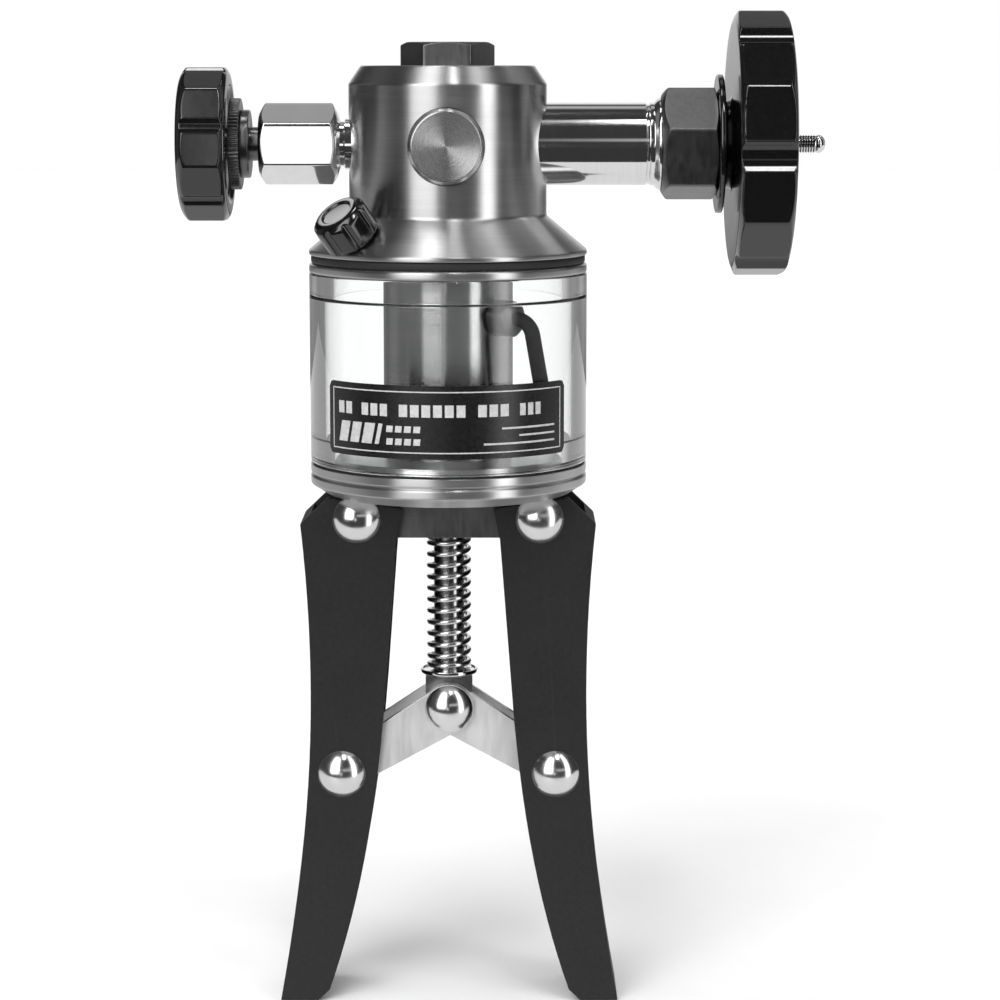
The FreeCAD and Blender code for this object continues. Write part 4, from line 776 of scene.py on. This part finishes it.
# ---------------------------------------------------------------- screw press
def make_screw_press():
    low, high = box("press_barrel")
    start, end = low.x, high.x
    shank, shoulder, barrel, groove, lip, bore = 8.0, 23.9, 11.0, 10.6, 12.2, 6.0
    outline = softened([
        (0, start), (shank, start), (shank, shoulder), (barrel, shoulder), (barrel, end - 4.2),
        (groove, end - 3.9, 0.1), (groove, end - 3.2, 0.1), (barrel, end - 2.9), (barrel, end - 1.9, 0.2),
        (lip, end - 0.8, 0.5), (lip, end, 0.3), (bore, end), (bore, start + 6.0), (0, start + 6.0)])
    piece("press_tube", placed(lathe(outline), CROSS_CENTRE, RIGHT), ["press_barrel"], TURNED_ACROSS)

    nut_end = box("press_nut")[1].x
    apothem = 13.5
    corner = apothem / math.cos(math.pi / 6)
    hole, spigot, spigot_start = 4.05, 5.95, end - 5.0
    outline = closed_outline([
        (hole, spigot_start), (spigot, spigot_start), (spigot, end + 0.05), (apothem * 0.95, end + 0.05, 0.3),
        (corner + 0.3, end + 2.0, 0.4), (corner + 0.3, nut_end - 0.9, 0.3), (apothem, nut_end, 0.2),
        (hole, nut_end)])
    nut = lathe(filled(outline, 0.25), flats(6, apothem), FACETED, closed=True)
    piece("press_hex", placed(nut, CROSS_CENTRE, RIGHT, 14.0), ["press_nut"])

    low, high = box("dust_disc")
    radius, hole = 18.5, 4.4
    outline = closed_outline([(hole, low.x), (radius, low.x, 0.6), (radius, high.x, 0.6), (hole, high.x)])
    piece("dust_washer", placed(lathe(outline, closed=True), CROSS_CENTRE, RIGHT), ["dust_disc"])

    low, high = box("press_knob")
    hub, rim, length = 2.2, 35.6, high.x - low.x
    outline = softened([
        (0, 0), (11.5, 0, 0.5), (12.0, hub, 0.8), (rim - 8.0, hub, 0.8), (rim - 3.2, hub + 0.1, 0.8),
        (rim + 0.2, hub + 1.5, 0.9), (rim + 0.2, length - 3.2, 1.1), (rim - 1.6, length - 1.6, 0.8),
        (rim - 5.0, length - 0.9, 1.2), (rim * 0.4, length, 2.0), (7.0, length, 0.5), (6.2, length - 0.8, 0.3),
        (0, length - 0.8)])
    shape = flutes(flats(12, (rim - 0.2) * math.cos(math.pi / 12), 4.0, 320), 6, rim + 1.4, 4.5, 34.0, 1.0)
    knob = placed(lathe(filled(outline, 0.35), shape, FACETED), (low.x, 0, CROSS_Z), RIGHT)
    piece("press_grip", knob, ["press_knob"])

    low, high = box("press_spindle")
    tip = high.x
    rod, rod_end, tail, pitch = 4.0, 88.0, 2.4, 0.7
    crests = [tip - 12.0 + pitch * index for index in range(14)]
    threads = [point for crest in crests for point in ((tail, crest), (tail - 0.3, crest + pitch / 2))]
    outline = softened([(0, low.x), (rod, low.x, 0.4), (rod, rod_end, 0.3), (tail, rod_end)] + threads
                       + [(tail, tip - 1.9), (tail, tip - 1.3, 0.3), (tail * 0.8, tip - 0.5, 0.3),
                          (tail * 0.45, tip, 0.2), (0, tip)])
    piece("press_screw_rod", placed(lathe(outline, steps=96), CROSS_CENTRE, RIGHT), ["press_spindle"],
          TURNED_ACROSS)


# ---------------------------------------------------------------- rivets, plunger, spring and links
RIVET_HEAD = 6.5    # radius
RIVET_RISE = 3.2    # height of the domed head


def rivet(x, z, reach, shank):
    """A rivet along Y: a domed head at each end of its shank."""
    sphere = (RIVET_HEAD ** 2 + RIVET_RISE ** 2) / (2 * RIVET_RISE)
    steps = 14
    widest = math.asin(RIVET_HEAD / sphere)
    angles = [widest * index / steps for index in range(steps + 1)]
    dome = [(sphere * math.sin(angle), sphere * (math.cos(angle) - 1) + RIVET_RISE + reach) for angle in angles]
    half = dome + [(RIVET_HEAD, reach), (RIVET_HEAD - 0.5, reach), (shank, reach)]
    outline = [(radius, -height) for radius, height in half] + half[::-1]
    return placed(lathe(outline, steps=160), (x, 0, z), BACK)


def make_rivets():
    low, high = box("yoke_rivets")
    reach = high.y - RIVET_RISE
    pivot_x = high.x - RIVET_HEAD
    pivot_z = (low.z + high.z) / 2
    piece("upper_rivets", joined(rivet(-pivot_x, pivot_z, reach, 3.0), rivet(pivot_x, pivot_z, reach, 3.0)),
          ["yoke_rivets"], RIVET_STEEL)
    for name, node in (("lower_rivet_left", "link_rivet_left"), ("lower_rivet_right", "link_rivet_right")):
        low, high = box(node)
        piece(name, rivet((low.x + high.x) / 2, (low.z + high.z) / 2, high.y - RIVET_RISE, 2.2), [node],
              RIVET_STEEL)
    low, high = box("centre_rivet")
    piece("middle_rivet", rivet(0, (low.z + high.z) / 2, high.y - RIVET_RISE, 3.0), ["centre_rivet"],
          RIVET_STEEL)


def make_plunger():
    low, high = box("plunger")
    neck, rod, step_z = 3.0, 4.2, low.z + 4
    outline = softened([(0, low.z), (neck, low.z, 0.3), (neck, step_z), (rod, step_z), (rod, high.z, 0.8),
                        (0, high.z)])
    piece("plunger_rod", lathe(outline), ["plunger"], PLUNGER_STEEL)

    low, high = box("spring_washer")
    hole, rim = 4.3, high.x
    outline = closed_outline([
        (hole, low.z), (rim - 0.9, low.z, 0.3), (rim, low.z + 0.7, 0.3), (rim, high.z, 0.2),
        (rim - 0.7, high.z, 0.2), (rim - 1.0, high.z - 0.5, 0.2), (hole, high.z - 0.5)])
    piece("spring_seat", lathe(outline, closed=True), ["spring_washer"])


def coil(wire, radius, length, turns, closed_turns=0):
    """A spring of this wire radius, standing on the origin about Z, with closed turns at each end."""
    per_turn, sides = 40, 12
    steps = int(turns * per_turn)
    rise = length - 2 * wire
    closed = 2 * wire + 0.05
    pitch = (rise - 2 * closed_turns * closed) / (turns - 2 * closed_turns)

    def height(turn):
        if turn < closed_turns:
            return closed * turn
        if turn > turns - closed_turns:
            return rise - closed * (turns - turn)
        return closed_turns * closed + pitch * (turn - closed_turns)

    vertices = []
    for step in range(steps + 1):
        turn = step / per_turn
        angle = math.tau * turn
        outward = Vector((math.cos(angle), math.sin(angle), 0))
        centre = outward * radius + UP * (wire + height(turn))
        for side in range(sides):
            around = math.tau * side / sides
            vertices.append(centre + outward * (wire * math.cos(around)) + UP * (wire * math.sin(around)))
    faces = [tuple(range(sides))[::-1], tuple(range(steps * sides, (steps + 1) * sides))]
    for step in range(steps):
        for side in range(sides):
            after = (side + 1) % sides
            here, there = step * sides, (step + 1) * sides
            faces.append((here + side, here + after, there + after, there + side))
    return vertices, faces


def shorten(spring):
    """The spring gets a mesh of its own."""
    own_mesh(spring)


def make_springs():
    """The return spring round the plunger and the two springs behind the check balls."""
    top = box("yoke_block")[0].z - 0.05
    bottom = box("spring_washer")[1].z - 0.45
    length = top - bottom
    made = placed(coil(0.75, 5.4, length, 12.6, 1), (0, 0, bottom), UP)
    shorten(piece("coil_spring", made, ["return_spring"]))

    low, high = box("outlet_spring")
    length = high.z - low.z
    made = placed(coil(0.3, 1.9, length, 5.0), (0, 0, low.z), UP)
    shorten(piece("outlet_coil", made, ["outlet_spring"]))

    outward, level = suction_way()
    inner_end, length = 16.25, 2.42
    foot = outward * inner_end + UP * level
    made = placed(coil(0.2, 1.5, length, 3.0), foot, outward)
    shorten(piece("inlet_coil", made, ["inlet_spring"]))


def make_bent_parts():
    rounded_cad("grip_left", "handle_left", 0.8)
    rounded_cad("grip_right", "handle_right", 0.8)
    rounded_cad("toggle_left", "link_left", 0.35)
    rounded_cad("toggle_right", "link_right", 0.35)
    rounded_cad("yoke_bar", "yoke_block", 0.5)
    rounded_cad("plunger_fork", "crosshead", 0.4)


def paint_other_nodes():
    """Nodes that keep their CAD shape get the finish of their slot."""
    for node, made in NODES.items():
        if made.hide_render:
            continue
        finish = MATERIALS[SLOT_OF[node]]
        if not made.material_slots:
            made.data.materials.append(finish)
        for material_slot in made.material_slots:
            material_slot.material = finish


# ---------------------------------------------------------------- studio
FLOOR_Z = CAD_BOX[0].z / MM - 0.1


def level_sheet(name, left, right, front, back, height):
    corners = [(left, front, height), (right, front, height), (right, back, height), (left, back, height)]
    return in_scene(name, mesh_from(name, corners, [(0, 1, 2, 3)]))


def make_floor():
    """The pale floor that the camera sees, which reflections and the tube don't show."""
    size = 6000.0
    floor = level_sheet("floor", -size, size, -size, size, FLOOR_Z)
    made, tree, shader = start_material("pale_floor", Roughness=0.9, Specular_IOR_Level=0.1)
    tint(tree, shader, noise(tree, object_point(tree), 30.0), 0.9, 0.94)
    floor.data.materials.append(made)
    floor.visible_glossy = False
    floor.visible_transmission = False


def make_table_glow():
    """The pale table as the polished parts mirror it: a lit sheet that only reflections see."""
    sheet = level_sheet("table_glow", -1500, 1500, -200, 1500, FLOOR_Z + 0.05)
    made, tree, shader = start_material("table_glow", Emission_Strength=0.75)
    shader.inputs["Emission Color"].default_value = (1, 1, 1, 1)
    tint(tree, shader, noise(tree, object_point(tree), 30.0), 0.0, 0.02)
    made.cycles.emission_sampling = "NONE"
    sheet.data.materials.append(made)
    sheet.visible_camera = False
    sheet.visible_diffuse = False
    sheet.visible_transmission = False
    sheet.visible_volume_scatter = False
    sheet.visible_shadow = False


def window(tree, value, centre, half, soft):
    """1 inside half of centre, falling smoothly to 0 over soft."""
    off = maths(tree, "ABSOLUTE", maths(tree, "SUBTRACT", value, centre))
    edges = {"Value": off, "From Min": half - soft, "From Max": half + soft, "To Min": 1.0, "To Max": 0.0}
    return add(tree, "ShaderNodeMapRange", edges, interpolation_type="SMOOTHSTEP").outputs[0]


# Soft panels round the object, in degrees: azimuth from the front towards +X, half width, elevation,
# half height, softness, brightness. A panel behind the object stands at -180 and at 180, once on each
# side of the seam.
PANELS = [
    (-28.0, 16.0, 29.0, 29.0, 4.5, 3.6),
    (-4.0, 1.9, -2.5, 5.0, 1.0, 1.4),
    (49.0, 8.5, 20.0, 50.0, 4.0, 2.5),
    (20.0, 18.0, 12.0, 1.5, 3.0, 1.0),
    (-112.0, 14.0, 20.0, 40.0, 8.0, 0.12),
    (118.0, 16.0, 20.0, 40.0, 8.0, 0.35),
    (-180.0, 18.0, 16.0, 18.0, 6.0, 0.85),
    (180.0, 18.0, 16.0, 18.0, 6.0, 0.85),
    (-180.0, 18.0, 55.0, 8.0, 3.0, 0.42),
    (180.0, 18.0, 55.0, 8.0, 3.0, 0.42),
    (13.0, 5.0, 64.0, 6.0, 2.0, 18.0),
    (-130.0, 40.0, 81.0, 3.0, 3.0, 14.0),
    (129.0, 4.0, 66.0, 4.0, 2.0, 12.0),
    (139.5, 1.5, 47.0, 3.0, 1.0, 8.0),
]
DARK_ROOM = 0.04


def make_world():
    """White to the camera and through the clear tube; to everything else a studio of soft panels."""
    world = bpy.data.worlds.new("studio")
    bpy.context.scene.world = world
    world.use_nodes = True
    tree = world.node_tree
    tree.nodes.clear()
    direction = add(tree, "ShaderNodeTexCoord").outputs["Generated"]
    x, y, z = add(tree, "ShaderNodeSeparateXYZ", {0: direction}).outputs
    front = maths(tree, "MULTIPLY", y, -1.0)
    azimuth = maths(tree, "MULTIPLY", maths(tree, "ARCTAN2", x, front), math.degrees(1))
    elevation = maths(tree, "MULTIPLY", maths(tree, "ARCSINE", z), math.degrees(1))
    light = DARK_ROOM

    def spot(centre, half, height, reach, soft):
        return maths(tree, "MULTIPLY", window(tree, azimuth, centre, half, soft),
                     window(tree, elevation, height, reach, min(8.0, soft * 2)))

    for *place, brightness in PANELS:
        light = maths(tree, "ADD", light, maths(tree, "MULTIPLY", spot(*place), brightness))
    path = add(tree, "ShaderNodeLightPath").outputs
    bounces = maths(tree, "ADD", path["Glossy Depth"], path["Diffuse Depth"])
    straight = maths(tree, "MULTIPLY", path["Is Transmission Ray"], maths(tree, "LESS_THAN", bounces, 0.5))
    seen = maths(tree, "MAXIMUM", path["Is Camera Ray"], straight)
    # What the parts behind the tube mirror is a little lit, and the tube takes no brightness from the white.
    light = maths(tree, "ADD", light, maths(tree, "MULTIPLY", path["Is Transmission Ray"], 0.2))
    studio = add(tree, "ShaderNodeBackground", {"Strength": light})
    white = maths(tree, "ADD", 1.0, maths(tree, "MULTIPLY", straight, 0.22))
    plain = add(tree, "ShaderNodeBackground", {"Strength": white})
    for background in (studio, plain):
        background.inputs["Color"].default_value = (1, 1, 1, 1)
    mixed = add(tree, "ShaderNodeMixShader", {0: seen, 1: studio.outputs[0], 2: plain.outputs[0]})
    out = add(tree, "ShaderNodeOutputWorld")
    tree.links.new(mixed.outputs[0], out.inputs["Surface"])


def make_lights():
    """A broad soft light from above that lights the floor and the matt parts but isn't mirrored."""
    data = bpy.data.lights.new("top_light", "SUN")
    data.energy = 2.0
    data.angle = math.radians(70)
    top = in_scene("top_light", data)
    top.rotation_euler = (math.radians(24), math.radians(-14), 0)
    top.visible_glossy = False


def make_camera():
    """The photograph's view: from the front, looking a little down."""
    field_of_view, tilt_down = 19.56, 8.63
    data = bpy.data.cameras.new("camera")
    data.angle = math.radians(field_of_view)
    camera = in_scene("camera", data)
    camera.location = Vector((14.0, -783.0, -4.7)) * MM
    camera.rotation_euler = (math.radians(90 - tilt_down), 0, 0)
    bpy.context.scene.camera = camera


make_camera()
make_world()
make_lights()
make_floor()
make_table_glow()
make_adaptor()
make_head()
make_plug()
make_filler_cap()
make_reservoir()
make_pump_cylinder()
make_label()
make_suction_line()
make_release_valve()
make_screw_press()
make_rivets()
make_plunger()
make_springs()
make_bent_parts()
paint_other_nodes()
bpy.context.scene.view_settings.view_transform = "Standard"
